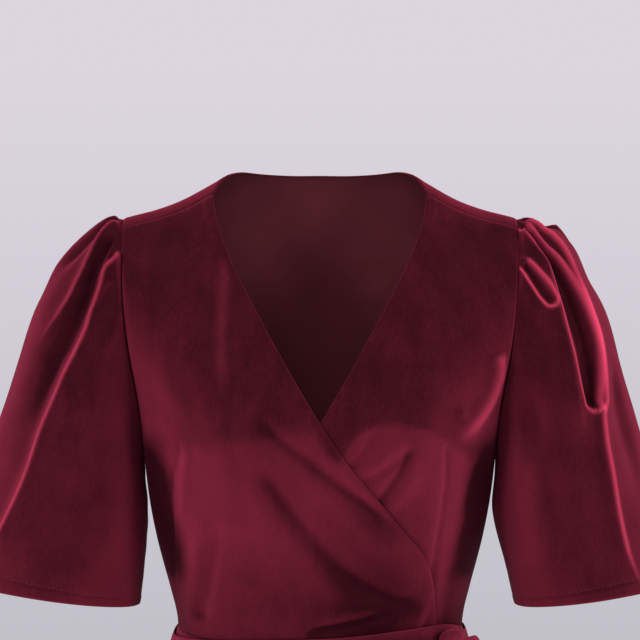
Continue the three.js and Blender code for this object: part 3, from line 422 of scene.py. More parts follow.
# Creases of the bodice seen from the front or back: x and z in mm and the half width there; some also paint a highlight
# or shade along the crease
OUTER_FRONT_LINES = (
    dict(out=-3.4, fade=(16, 34), skew=(0.9, 1.2), painted_brightness=(-0.05, 5), line=((-57, -196, 7), (-37, -216, 8), (-15, -232.5, 8.5), (6.5, -250, 8.5),
                                                        (28, -265, 8), (50, -281.5, 8), (68, -297, 9))),
    dict(out=-4.2, fade=(26, 22), skew=(0.9, 1.2), painted_brightness=(-0.07, 10), line=((-58, -235, 7), (-47, -250, 8), (-31, -274, 9), (-13, -299, 9.5),
                                                        (5, -320, 9.5), (27, -341, 9), (50, -357, 8.5), (72, -365, 8),
                                                        (90, -361, 8))),
    dict(out=2, fade=(30, 30), skew=(1, 1), line=((-28, -226, 8), (14, -266, 10), (50, -303, 11), (80, -326, 11))),
    dict(out=1.4, fade=(20, 30), skew=(1, 1), line=((-6, -214, 7), (30, -247, 8), (62, -282, 8))),
    dict(out=-2.6, fade=(22, 10), skew=(1, 1), line=((-88, -288, 6), (-94, -318, 7), (-99, -348, 7), (-107, -388, 6))),
    dict(out=2.4, fade=(24, 16), skew=(1, 1), line=((-102, -280, 8), (-108, -320, 8), (-112, -356, 8), (-118, -396, 7))),
    dict(out=-1.5, fade=(3, 2), skew=(0.7, 1.5), line=((-122.5, -223, 1.6), (-126, -242, 1.9), (-130, -258, 2), (-131, -313, 2),
                                                      (-131, -371, 2), (-130, -402, 2))),
    dict(out=1.4, fade=(10, 20), skew=(1, 1), painted_brightness=(0.05, 3), line=((-117, -222, 5), (-120, -242, 6), (-123, -262, 7), (-124, -300, 8))),
    dict(out=-1.8, fade=(14, 14), skew=(1, 1), line=((-112, -224, 5), (-113, -240, 5))),
    dict(out=1.6, fade=(20, 30), skew=(1, 1), line=((-142, -150, 8), (-134, -176, 9), (-120, -200, 10))),
    dict(out=0.5, fade=(20, 40), skew=(1, 1), painted_brightness=(0.045, 5), line=((-84, -50, 7), (-87, -120, 8), (-85, -184, 8))),
    # the shadow above the belt where the bodice blouses over it, with painted shadow along the line
    dict(out=-1.8, fade=(24, 12), skew=(1.6, 0.8), painted_brightness=(-0.3, 3), line=((-14, -394, 3), (10, -389, 3.6), (35, -384, 4.2),
                                                                        (54, -379, 4.4), (69, -374.5, 3.6))),
    dict(out=1.5, fade=(24, 20), skew=(1, 1), line=((-10, -378, 8), (24, -374, 8), (56, -366, 7))),
    dict(out=1.6, fade=(14, 10), skew=(1, 1), line=((84, -390, 6), (96, -372, 6), (101, -352, 7))),
    dict(out=-1.6, fade=(8, 6), skew=(1, 1), line=((90, -398, 4), (97, -378, 5), (100, -362, 5))),
    dict(out=-1.2, fade=(12, 14), skew=(1, 1), line=((-70, -398, 6), (-66, -372, 7), (-58, -352, 7))),
)
INNER_FRONT_LINES = (
    dict(out=-2.4, fade=(2, 10), skew=(1, 1), line=((24, -242, 4), (36, -229, 4.5), (47, -214, 5), (54, -202, 5))),
    dict(out=-2.2, fade=(2, 10), skew=(1, 1), line=((38, -254, 4), (55, -243, 4.5), (70, -234, 5), (82, -222, 5))),
    dict(out=-2.4, fade=(2, 12), skew=(1, 1), painted_brightness=(-0.05, 3), line=((52, -273, 4.5), (64, -256, 5), (75, -238, 5), (84, -220, 6))),
    dict(out=1.3, fade=(4, 16), skew=(1, 1), line=((44, -248, 5), (58, -230, 6), (68, -212, 7))),
    dict(out=1.2, fade=(4, 16), skew=(1, 1), line=((62, -278, 5), (76, -260, 6), (88, -240, 7))),
    dict(out=-1.6, fade=(4, 2), skew=(1.5, 0.7), line=((112, -223, 1.6), (112, -254, 2), (107, -293, 2.1), (101, -338, 2.1),
                                                      (99, -402, 2.1))),
    dict(out=1.5, fade=(16, 20), skew=(1, 1), line=((104, -232, 6), (103, -262, 8), (99, -300, 9), (94, -340, 8))),
    dict(out=3.6, fade=(6, 26), skew=(0.8, 1.3), painted_brightness=(0.28, 5), line=((163, -144, 6), (164, -164, 7), (156, -186, 8), (140, -208, 9),
                                                      (124, -222, 10))),
    dict(out=-2.2, fade=(8, 24), skew=(1, 1), line=((170, -170, 5), (164, -194, 6), (152, -214, 7), (140, -230, 8))),
    dict(out=1.8, fade=(8, 14), skew=(0.8, 1.3), line=((124, -190, 5), (129, -203, 5), (133, -218, 6))),
    dict(out=-1.8, fade=(14, 20), skew=(1, 1), line=((150, -236, 7), (138, -262, 8), (128, -290, 9))),
    dict(out=1.6, fade=(14, 20), skew=(1, 1), line=((138, -300, 7), (130, -340, 8), (126, -384, 8))),
    dict(out=-1.4, fade=(14, 6), skew=(1, 1), line=((118, -330, 6), (114, -364, 7), (112, -400, 7))),
)
BACK_LINES = (
    dict(out=-1.5, fade=(4, 2), skew=(1.4, 0.8), line=((70, -246, 1.6), (66, -290, 2), (61, -345, 2.1), (59, -402, 2.1))),
    dict(out=-1.5, fade=(4, 2), skew=(0.8, 1.4), line=((-70, -246, 1.6), (-66, -290, 2), (-61, -345, 2.1), (-59, -402, 2.1))),
    dict(out=2.6, fade=(26, 30), skew=(1, 1), line=((-132, -330, 8), (-92, -352, 9), (-48, -364, 10), (-14, -366, 10))),
    dict(out=-2.8, fade=(26, 30), skew=(1, 1), line=((-130, -346, 7), (-94, -370, 8), (-52, -382, 8), (-20, -383, 8))),
    dict(out=2.4, fade=(26, 30), skew=(1, 1), line=((132, -318, 8), (96, -342, 9), (52, -356, 10), (18, -358, 10))),
    dict(out=-2.6, fade=(26, 30), skew=(1, 1), line=((130, -336, 7), (92, -360, 8), (54, -372, 8), (22, -375, 8))),
    dict(out=-2, fade=(26, 34), skew=(1, 1), line=((160, -236, 8), (132, -272, 10), (104, -300, 11))),
    dict(out=-2.2, fade=(26, 34), skew=(1, 1), line=((-160, -230, 8), (-130, -262, 10), (-98, -296, 11))),
    dict(out=1.8, fade=(26, 34), skew=(1, 1), line=((-150, -210, 9), (-116, -236, 10), (-84, -256, 11))),
    dict(out=1.8, fade=(26, 34), skew=(1, 1), line=((152, -196, 9), (120, -220, 10), (88, -246, 11))),
    dict(out=-1.6, fade=(24, 24), skew=(1, 1), line=((-88, -42, 8), (-60, -74, 10), (-36, -110, 11))),
    dict(out=-1.4, fade=(24, 24), skew=(1, 1), line=((96, -50, 8), (66, -86, 10), (34, -116, 11))),
)
# Soft folds of the skirt by degrees round the waist from the wearer's right side
SKIRT_FOLDS = table(
    "turn wide out start",
    (8, 9, 1, -440), (31, 8, 0.7, -520), (52, 10, 0.55, -600), (86, 12, 0.4, -640), (128, 9, 0.55, -560),
    (152, 8, 0.8, -500), (174, 9, 1, -440), (199, 8, 0.8, -470), (222, 9, 1, -450), (249, 10, 0.8, -480),
    (274, 9, 1, -440), (301, 10, 0.9, -470), (327, 8, 0.8, -450), (345, 8, 0.7, -500),
)
BELT_LINE = table(
    "turn z",
    (0, -431), (45, -423), (90, -416), (125, -410), (145, -411), (180, -427), (270, -413), (360, -431),
)


def flat_relief(grid, folds, facing):
    """Height and painted light and shade of the creases of a front or back panel, measured as seen from that side."""
    seen = grid.copy()
    seen[..., 1] = 0
    normals = np.zeros_like(seen)
    normals[..., 1] = facing
    relief = np.zeros((2,) + grid.shape[:2])
    for fold in folds:
        samples = spline(fold["line"], 60)
        line = np.stack([samples[:, 0], 0 * samples[:, 0], samples[:, 1]], axis=1)
        relief += fold_shape(seen, normals, fold, line, samples[:, 2])
    return relief


def sleeve_relief(side, grid, normals):
    """Height and painted light and shade of a sleeve's folds; its lines are laid on the plain sleeve first."""
    relief = np.zeros((2,) + grid.shape[:2])
    hand = "right" if side < 0 else "left"
    for folds, flip in ((SLEEVE_LINES[hand], False), (SLEEVE_BACK_LINES, side > 0)):
        for fold in folds:
            samples = spline([(t, 100 * s, w) for t, s, w in fold["line"]], 60)
            line = sleeve_base(side, samples[:, 0], np.clip(samples[:, 1] / 100, 0, 1))
            used = dict(fold, skew=fold["skew"][::-1]) if flip else fold
            relief += fold_shape(grid, normals, used, line, samples[:, 2])
    return relief


def edge_roll(distance, depth, reach):
    """A seam pulls the cloth in along its edge."""
    return -depth * np.square(1 - np.clip(distance / reach, 0, 1))


def side_lengths(grid):
    """Distance in mm of each point from its row's first point and last point."""
    step = np.linalg.norm(np.diff(grid, axis=1), axis=2)
    first = np.concatenate([np.zeros((len(grid), 1)), np.cumsum(step, axis=1)], axis=1)
    return first, first[:, -1:] - first


def front_lap(u, v):
    return LAP * soft(u / 0.26) * (1 - soft((v - 0.62) / 0.3))


def shell(base, normals, height, painted_light=0, thick=CLOTH):
    outer = base + normals * height[..., None]
    return outer, outer - normals * thick, painted_light + np.zeros(height.shape)


def front_painted_light(grid):
    """Painted light on a front: a painted highlight from below the bust down, painted shade on the lap, and painted
    shade beside the arms where the sleeves shade the sides.
    """
    x, z = grid[..., 0], grid[..., 2]
    below = soft((read(BUST_PAINT_EDGE, "x", x, "z") - z) / read(BUST_PAINT_EDGE, "x", x, "soft"))
    low = soft((-290 - z) / 90)
    beside = (1 - soft((outer_width(z) - np.abs(x)) / 40)) * soft((-205 - z) / 60)
    beside = beside * (1 - 0.75 * soft((-318 - z) / 45))
    painted_brightness = mix(BUST_PAINTED_HIGHLIGHT, LOW_PAINTED_LIGHT, low) - LAP_SHADE * bell((x - 52) / 45) * soft((-255 - z) / 45)
    return below * painted_brightness * (1 - beside) - SIDE_SHADE * beside


def outer_crease(grid):
    """The outer front's creases, fading out at its edge; the front below follows them."""
    edge = -read(FRONT_EDGE, "z", grid[..., 2], "reach")
    return flat_relief(grid, OUTER_FRONT_LINES, -1) * soft((edge - grid[..., 0] + 3) / 14)


def outer_front():
    u, v, base = front_grid(-1, 62, 104, 104)
    normals = -normals_of(base)
    if normals[40, 50, 1] > 0:
        normals = -normals
    first, last = side_lengths(base)
    relief, painted_light = outer_crease(base) * soft(first / 16)
    waves = 0.35 * fine_noise(base[..., 0], base[..., 2], 11, 60) * soft(first / 20)
    height = front_lap(u, v) + relief + waves
    height += edge_roll(first, 0.9, 4) + edge_roll((v + 1) * 165, 0.8, 4) + edge_roll((1 - v) * 240, 0.7, 5)
    height += 0.2 * bell((last - 7) / 2.6) - 0.16 * bell((last - 11) / 1.8)
    return shell(base, normals, height, painted_light + front_painted_light(base))


def inner_front():
    u, v, base = front_grid(1, 62, 104, 104)
    normals = normals_of(base)
    if normals[40, 50, 1] > 0:
        normals = -normals
    first, last = side_lengths(base)
    shown = soft((base[..., 0] - 16) / 16)
    relief, painted_light = flat_relief(base, INNER_FRONT_LINES, -1) * soft(first / 12) * shown + outer_crease(base)
    waves = 0.35 * fine_noise(base[..., 0], base[..., 2], 12, 60) * soft(first / 20) * shown
    height = relief + waves
    height += edge_roll(first, 0.9, 4) + edge_roll((v + 1) * 165, 0.8, 4) + edge_roll((1 - v) * 240, 0.7, 5)
    height += shown * (0.2 * bell((last - 7) / 2.6) - 0.16 * bell((last - 11) / 1.8))
    return shell(base, normals, height, painted_light + front_painted_light(base))


def back():
    u, v, base = back_grid(62, 124, 130)
    normals = normals_of(base)
    if normals[40, 65, 1] < 0:
        normals = -normals
    first, last = side_lengths(base)
    edge = soft(first / 16) * soft(last / 16)
    relief, painted_light = flat_relief(base, BACK_LINES, 1) * edge * soft((0.72 - v) / 0.2)
    waves = 0.4 * fine_noise(base[..., 0], base[..., 2], 13, 70) * edge
    height = relief + waves
    height += edge_roll(first, 0.9, 4) + edge_roll(last, 0.9, 4) + edge_roll((v + 1) * 165, 0.8, 4)
    height += edge_roll((1 - v) * 300, 0.6, 4)
    # painted highlight over the tops of the back's shoulders
    painted_light = painted_light + SHOULDER_PAINTED_HIGHLIGHT * soft((v - 0.84) / 0.1)
    return shell(base, normals, height, painted_light)


def sleeve(side):
    rings, columns = 140, 340
    s, turn = np.meshgrid((np.arange(rings + 1) / rings) ** 1.12, np.arange(columns) * 360 / columns - 180, indexing="ij")
    base = sleeve_base(side, turn, s)
    normals = normals_of(base, closed=True)
    middle = base.mean(axis=1, keepdims=True)
    if np.mean(np.sum(normals * (base - middle), axis=-1)) < 0:
        normals = -normals
    relief, painted_light = sleeve_relief(side, base, normals)
    down = s * 400
    under = soft((np.abs(turn) - 140) / 30)
    relief *= 1 - 0.85 * under * (1 - soft((s - 0.45) / 0.3))
    waves = 0.5 * fine_noise(turn * 1.4, down, 21 + side, 85) * soft(down / 40)
    height = relief * soft(down / 7) + waves
    height += edge_roll(down, 0.8, 5)
    # the turned-up hem: a stitched line 17 mm above the edge, and the edge's own soft roll
    from_hem = (1 - s) * 330
    height += -0.45 * bell((from_hem - 17) / 1.6) + 0.3 * bell((from_hem - 12) / 4) - 0.5 * bell(from_hem / 2)
    return shell(base, normals, height, painted_light)


def skirt_point(turn, z):
    half = read(SKIRT, "z", z, "half")
    front = np.sin(turn) > 0
    depth = np.where(front, read(SKIRT, "z", z, "front"), read(SKIRT, "z", z, "back"))
    round_ = np.abs(np.sin(turn)) ** (2 / ROUNDNESS)
    return stack(-half * bent(turn), np.where(front, -1, 1) * depth * round_, z)


def skirt_fold(turn, z):
    height = np.zeros(np.broadcast(turn, z).shape)
    for at, wide, out, start in zip(*(SKIRT_FOLDS[k] for k in ("turn", "wide", "out", "start"))):
        off = np.arctan2(np.sin(turn - math.radians(at)), np.cos(turn - math.radians(at)))
        height = height + out * bell(np.degrees(off) / wide) * soft((start - z) / 160)
    return height * read(SKIRT, "z", z, "fold")


def skirt_outward(turn, z):
    turn, z = np.broadcast_arrays(np.asarray(turn, float), np.asarray(z, float))
    around = skirt_point(turn + 0.004, z) - skirt_point(turn - 0.004, z)
    down = skirt_point(turn, z - 1) - skirt_point(turn, z + 1)
    n = np.cross(down, around)
    n /= np.linalg.norm(n, axis=-1, keepdims=True)
    n[..., 2] *= soft((WAIST_Z - z) / 60)
    return n / np.linalg.norm(n, axis=-1, keepdims=True)


def waist_lap(turn):
    return LAP * soft(turn / math.radians(36))


def wrap_turn(z):
    """Where the skirt's wrap edge runs."""
    edge = mix(104, 150, (WAIST_Z - z) / (WAIST_Z - HEM_Z))
    return math.pi - unbent(edge / read(SKIRT, "z", z, "half"))


def skirt_panel(start, end, columns, lap, seed, free=(False, False)):
    """A skirt panel between two edges given as turns by height; free edges hang open."""
    rows = 130
    z, t = np.meshgrid(mix(WAIST_Z - 0.2, HEM_Z, (np.arange(rows + 1) / rows) ** 1.2),
                       np.arange(columns + 1) / columns, indexing="ij")
    turn = mix(start(z), end(z), t)
    base = skirt_point(turn, z)
    normals = skirt_outward(turn, z)
    first, last = side_lengths(base)
    low = soft((WAIST_Z - 30 - z) / 120)
    height = skirt_fold(turn, z) + lap(turn)
    sewn = [near for near, open_ in ((first, free[0]), (last, free[1])) if not open_]
    low = low * soft(np.minimum.reduce(sewn) / 30)
    height += 1.1 * fine_noise(np.degrees(turn) * 2.6, z, seed, 210) * low
    height += 0.4 * fine_noise(np.degrees(turn) * 2.6, z, seed + 40, 60) * low
    for near, open_ in ((first, free[0]), (last, free[1])):
        if open_:
            height += 0.5 * bell((near - 8) / 2.4) - 0.35 * bell((near - 12) / 1.5)
        else:
            height += edge_roll(near, 0.8, 4)
    from_hem = z - HEM_Z
    height += edge_roll(WAIST_Z - z, 0.7, 4)
    height += -0.5 * bell((from_hem - 24) / 1.8) + 0.3 * bell((from_hem - 18) / 5) - 0.4 * bell(from_hem / 2)
    return shell(base, normals, height)


def skirt_panels():
    return {
        "skirt_front_outer": skirt_panel(lambda z: 0.0003 + 0 * z, wrap_turn, 120, waist_lap, 31, (False, True)),
        "skirt_front_inner": skirt_panel(lambda z: math.pi - wrap_turn(z), lambda z: math.pi - 0.0003 + 0 * z, 120,
                                         lambda turn: 0 * turn, 32, (True, False)),
        "skirt_back": skirt_panel(lambda z: math.pi + 0.0003 + 0 * z, lambda z: 2 * math.pi - 0.0003 + 0 * z, 150,
                                  lambda turn: 0 * turn, 33),
    }


def belt_point(turn, z):
    """The belt's inner face, clear of what lies under it."""
    turn, z = np.broadcast_arrays(np.asarray(turn, float), np.asarray(z, float))
    front = np.sin(turn) > 0
    lap = np.where(front, waist_lap(turn) * (1 - soft((np.degrees(turn) - 146) / 22)), 0)
    above = z > WAIST_Z
    half = np.where(above, read(TORSO, "z", z, "half"), read(SKIRT, "z", z, "half"))
    side = [np.where(above, read(TORSO, "z", z, k), read(SKIRT, "z", z, k)) for k in ("front", "back")]
    depth = np.where(front, side[0], side[1])
    out = BELT_CLEAR + lap
    round_ = np.abs(np.sin(turn)) ** (2 / ROUNDNESS)
    return stack(-(half + out) * bent(turn), np.where(front, -1, 1) * (depth + out) * round_, z)


def belt_normal(p):
    n = np.stack([p[..., 0] / 134**2, p[..., 1] / 92**2, 0 * p[..., 0]], axis=-1)
    return n / np.linalg.norm(n, axis=-1, keepdims=True)


def belt():
    rows, columns = 16, 420
    r, turn = np.meshgrid(np.arange(rows + 1) / rows, np.arange(columns) * 2 * math.pi / columns, indexing="ij")
    middle = read(BELT_LINE, "turn", np.degrees(turn), "z")
    inner = belt_point(turn, middle + BELT_WIDTH * (0.5 - r))
    normals = belt_normal(inner)
    degrees = np.degrees(turn)
    # wrinkles run along the sash and gather towards the knot
    near = bell((degrees - 142) / 30) + 0.35
    wrinkle = 0.9 * fine_noise(degrees * 0.35, r * 36, 51, 13) * near
    bulge = 1.6 * (1 - np.square(2 * r - 1)) - 0.7 * np.square(2 * r - 1) ** 3
    outer = inner + normals * (BELT_THICK - 0.9 + bulge * 0.55 + wrinkle * 0.5)[..., None]
    return outer, inner


def off_front(turn, z, out):
    turn, z, out = (np.asarray(a, float) for a in (turn, z, out))
    place = np.where((z > WAIST_Z)[..., None], belt_point(turn, z), skirt_point(turn, z))
    return place + skirt_outward(turn, np.minimum(z, WAIST_Z)) * out[..., None]


KNOT_X, KNOT_Z, KNOT_WIDE, KNOT_HIGH, KNOT_DEEP, KNOT_CLEAR = 111, -411, 30, 34, 17, 1.6
LOOP_PATHS = {
    "right": dict(droop=24, path=((133.1, -409, 16), (124, -411, 21), (112, -418, 24), (101, -429, 21), (98, -436, 16),
                                  (106, -432, 12.5), (118, -423, 11.5), (133.1, -413, 10.5))),
    "left": dict(droop=-4, path=((148.9, -412, 16), (155, -419, 15), (161, -428, 13.5), (165, -440, 12.5), (165, -448, 8.7),
                                 (160, -438, 8.5), (155, -427, 9.6), (149.6, -417, 11))),
}
TAIL_PATHS = {
    "tie_tail_long": dict(x0=108.2, x1=88, z1=-800, start=11.4, out=4, wave=9),
    "tie_tail_short": dict(x0=111.8, x1=152, z1=-725, start=16.2, out=9, wave=-8),
}


def knot():
    """The knot: a rounded lump with a wrap round its middle, flat against the belt."""
    turn = math.pi - unbent(KNOT_X / (133.5 + BELT_CLEAR + LAP))
    place = belt_point(turn, KNOT_Z)
    normal = belt_normal(place)
    place = place + normal * (BELT_THICK + KNOT_CLEAR)
    sideways = np.array([-normal[1], normal[0], 0])
    rings, columns = 60, 96
    lift, t = np.meshgrid((np.arange(rings) + 1) / (rings + 1) * math.pi, np.arange(columns) * 2 * math.pi / columns,
                          indexing="ij")
    swell = np.sin(lift) ** 0.6
    ripple = 1 + 0.05 * np.cos(3 * t + 1) * np.sin(lift) - 0.12 * bell((lift - 1.15) / 0.16)
    ripple = ripple - 0.05 * bell((lift - 2.1) / 0.12) + 0.03 * np.sin(9 * t + 3 * np.sin(lift * 2)) * np.sin(lift)
    wide = np.sign(np.cos(t)) * np.abs(np.cos(t)) ** 0.75
    deep = np.sign(np.sin(t)) * np.abs(np.sin(t)) ** 0.75
    p = place + sideways * (KNOT_WIDE / 2 * wide * swell * ripple)[..., None]
    bulge = deep * swell * np.where(deep < 0, 1, ripple)
    p = p + normal * (KNOT_DEEP / 2 * (1 + bulge))[..., None]
    p[..., 2] += KNOT_HIGH / 2 * np.cos(lift)
    return p


def ribbon(line, width, acrossness, thick, relief=None, columns=20):
    """A strip along a line; its width lies across it in the given direction."""
    count = len(line)
    along = np.gradient(line, axis=0)
    along /= np.linalg.norm(along, axis=1, keepdims=True)
    side = acrossness / np.linalg.norm(acrossness, axis=1, keepdims=True)
    normal = np.cross(along, side)
    normal /= np.linalg.norm(normal, axis=1, keepdims=True)
    off = np.linspace(-0.5, 0.5, columns + 1)
    grid = line[:, None] + side[:, None] * (off[None, :, None] * width[:, None, None])
    t = np.linspace(0, 1, count)[:, None] + 0 * off[None]
    lift = relief(t, off[None] + 0 * t) if relief else 0 * t
    face = thick / 2 * (1 - 0.55 * np.abs(2 * off[None]) ** 8)
    outer = grid + normal[:, None] * (lift + face)[..., None]
    inner = grid + normal[:, None] * (lift - face)[..., None]
    return outer, inner


def bow_loop(hand):
    loop = LOOP_PATHS[hand]
    rows = np.array(loop["path"], float)
    points = off_front(np.radians(rows[:, 0]), rows[:, 1], rows[:, 2])
    line = spline(points, 90)
    middle = math.radians(rows[2, 0])
    around = skirt_point(middle + 0.01, WAIST_Z) - skirt_point(middle - 0.01, WAIST_Z)
    upright = -math.sin(math.radians(loop["droop"])) * around / np.linalg.norm(around)
    upright[2] = math.cos(math.radians(loop["droop"]))
    t = np.linspace(0, 1, 90)
    width = BELT_WIDTH * mix(0.45, 0.95, soft(np.minimum(t, 1 - t) / 0.3))

    def relief(t, off):
        near = 1 - soft(np.minimum(t, 1 - t) / 0.34)
        return near * 0.9 * np.cos(off * 15 + 0.6) + 1.2 * np.square(2 * off) * (1 - near) * 0.5
    return ribbon(line, width, np.tile(upright, (90, 1)), 1.8, relief)


def tail(name):
    rows = TAIL_PATHS[name]

    def place(t):
        z = mix(KNOT_Z - KNOT_HIGH / 2 - 0.4, rows["z1"], t)
        x = mix(rows["x0"], rows["x1"], soft(t * 1.1)) + rows["wave"] * np.sin(t * math.pi * 2) * t
        return math.pi - unbent(x / read(SKIRT, "z", z, "half")), z
    steps = np.arange(11) / 10
    turn, z = place(steps)
    out = mix(rows["start"], LAP + rows["out"], soft(np.arange(11) / 1.5))
    line = spline(off_front(turn, z, skirt_fold(turn, z) + out), 200)
    turn, z = place(np.linspace(0, 1, 200))
    level = skirt_point(turn + 0.02, z) - skirt_point(turn - 0.02, z)
    width = BELT_WIDTH * mix(0.3, 1, soft(np.linspace(0, 1, 200) / 0.15))

    def relief(t, off):
        near = 1 - soft(t / 0.2)
        return near * 1.1 * np.cos(off * 16 + 1) + 0.6 * np.sin(t * 16 + rows["x0"]) * np.abs(off) * (1 - near)
    return ribbon(line, width, level, 1.8, relief)


# Meshes

def wall_mesh(name, outer, inner, painted_light, closed, materials):
    """A closed two-layer wall with rounded rims; the inner layer shows the cloth's wrong side."""
    rows, columns = outer.shape[:2]
    layers = [outer, inner]
    middle = (outer + inner) / 2

    def rim(a, b):
        away = a - b
        length = np.linalg.norm(away, axis=-1, keepdims=True) + 1e-9
        return a + away / length * 0.45
    bottom = rim(middle[0], middle[1])
    top = rim(middle[-1], middle[-2])
    points = [outer.reshape(-1, 3), inner.reshape(-1, 3), bottom, top]
    base = rows * columns
    at_outer = lambda r, c: r * columns + c % columns
    at_inner = lambda r, c: base + r * columns + c % columns
    at_bottom = lambda c: 2 * base + c % columns
    at_top = lambda c: 2 * base + columns + c % columns
    faces, slots = [], []
    spans = columns if closed else columns - 1
    r, c = np.meshgrid(np.arange(rows - 1), np.arange(spans), indexing="ij")
    r, c = r.ravel(), c.ravel()
    faces.append(np.stack([at_outer(r, c), at_outer(r, c + 1), at_outer(r + 1, c + 1), at_outer(r + 1, c)], 1))
    slots.append(np.zeros(len(r), int))
    faces.append(np.stack([at_inner(r, c + 1), at_inner(r, c), at_inner(r + 1, c), at_inner(r + 1, c + 1)], 1))
    slots.append(np.ones(len(r), int))
    c = np.arange(spans)
    for low, high in ((at_inner(0, c), at_bottom(c)), (at_bottom(c), at_outer(0, c))):
        nxt = {0: None}
        follow_low = at_inner(0, c + 1) if high is not None and low[0] == at_inner(0, 0) else at_bottom(c + 1)
        follow_high = at_bottom(c + 1) if low[0] == at_inner(0, 0) else at_outer(0, c + 1)
        faces.append(np.stack([low, follow_low, follow_high, high], 1))
        slots.append(np.zeros(spans, int))
    last = rows - 1
    for low, high, follow_low, follow_high in (
        (at_outer(last, c), at_top(c), at_outer(last, c + 1), at_top(c + 1)),
        (at_top(c), at_inner(last, c), at_top(c + 1), at_inner(last, c + 1)),
    ):
        faces.append(np.stack([low, follow_low, follow_high, high], 1))
        slots.append(np.zeros(spans, int))
    if not closed:
        end = columns - 1
        count = 2 * base + 2 * columns
        first_rim = rim(middle[:, 0], middle[:, 1])
        last_rim = rim(middle[:, -1], middle[:, -2])
        points += [first_rim, last_rim]
        r = np.arange(rows - 1)
        at_first = lambda k: count + k
        at_last = lambda k: count + rows + k
        for a, b, c2, d in (
            (at_inner(r, 0), at_first(r), at_first(r + 1), at_inner(r + 1, 0)),
            (at_first(r), at_outer(r, 0), at_outer(r + 1, 0), at_first(r + 1)),
            (at_outer(r, end), at_last(r), at_last(r + 1), at_outer(r + 1, end)),
            (at_last(r), at_inner(r, end), at_inner(r + 1, end), at_last(r + 1)),
        ):
            faces.append(np.stack([a, b, c2, d], 1))
            slots.append(np.zeros(rows - 1, int))
        # the four corners where the rims meet
        for rr, rim_at, pick in ((0, at_bottom(0), at_first(0)), (0, at_bottom(end), at_last(0)),
                                 (last, at_top(0), at_first(last)), (last, at_top(end), at_last(last))):
            cc = 0 if pick in (at_first(0), at_first(last)) else end
            faces.append(np.array([[at_outer(rr, cc), rim_at, at_inner(rr, cc), pick]]))
            slots.append(np.zeros(1, int))
    points = np.concatenate(points) * MM
    # painted light and shade per point of the outer layer, read by the velvet material
    painted_light_values = np.zeros(len(points))
    painted_light_values[:base] = painted_light.ravel()
    faces = np.concatenate(faces)
    slots = np.concatenate(slots)
    tri = points[faces]
    volume = np.sum(np.einsum("ij,ij->i", tri[:, 0], np.cross(tri[:, 1], tri[:, 2])
                              + np.cross(tri[:, 2], tri[:, 3])))
    if volume < 0:
        faces = faces[:, ::-1]
    piece = make_object(name, points, faces, slots, materials)
    piece.data.attributes.new("painted_light", "FLOAT", "POINT").data.foreach_set("value", painted_light_values)
    return piece


def make_object(name, points, faces, slots, materials):
    mesh = bpy.data.meshes.new(name)
    mesh.from_pydata(points.tolist(), [], faces.tolist())
    for material in materials:
        mesh.materials.append(material)
    mesh.polygons.foreach_set("material_index", np.asarray(slots, np.int32))
    mesh.polygons.foreach_set("use_smooth", np.ones(len(mesh.polygons), bool))
    mesh.update()
    piece = bpy.data.objects.new(name, mesh)
    bpy.context.scene.collection.objects.link(piece)
    bm = bmesh.new()
    bm.from_mesh(mesh)
    bmesh.ops.recalc_face_normals(bm, faces=bm.faces)
    bm.to_mesh(mesh)
    bm.free()
    return piece


def half_area(piece):
    return sum(p.area for p in piece.data.polygons) / 2


# Materials

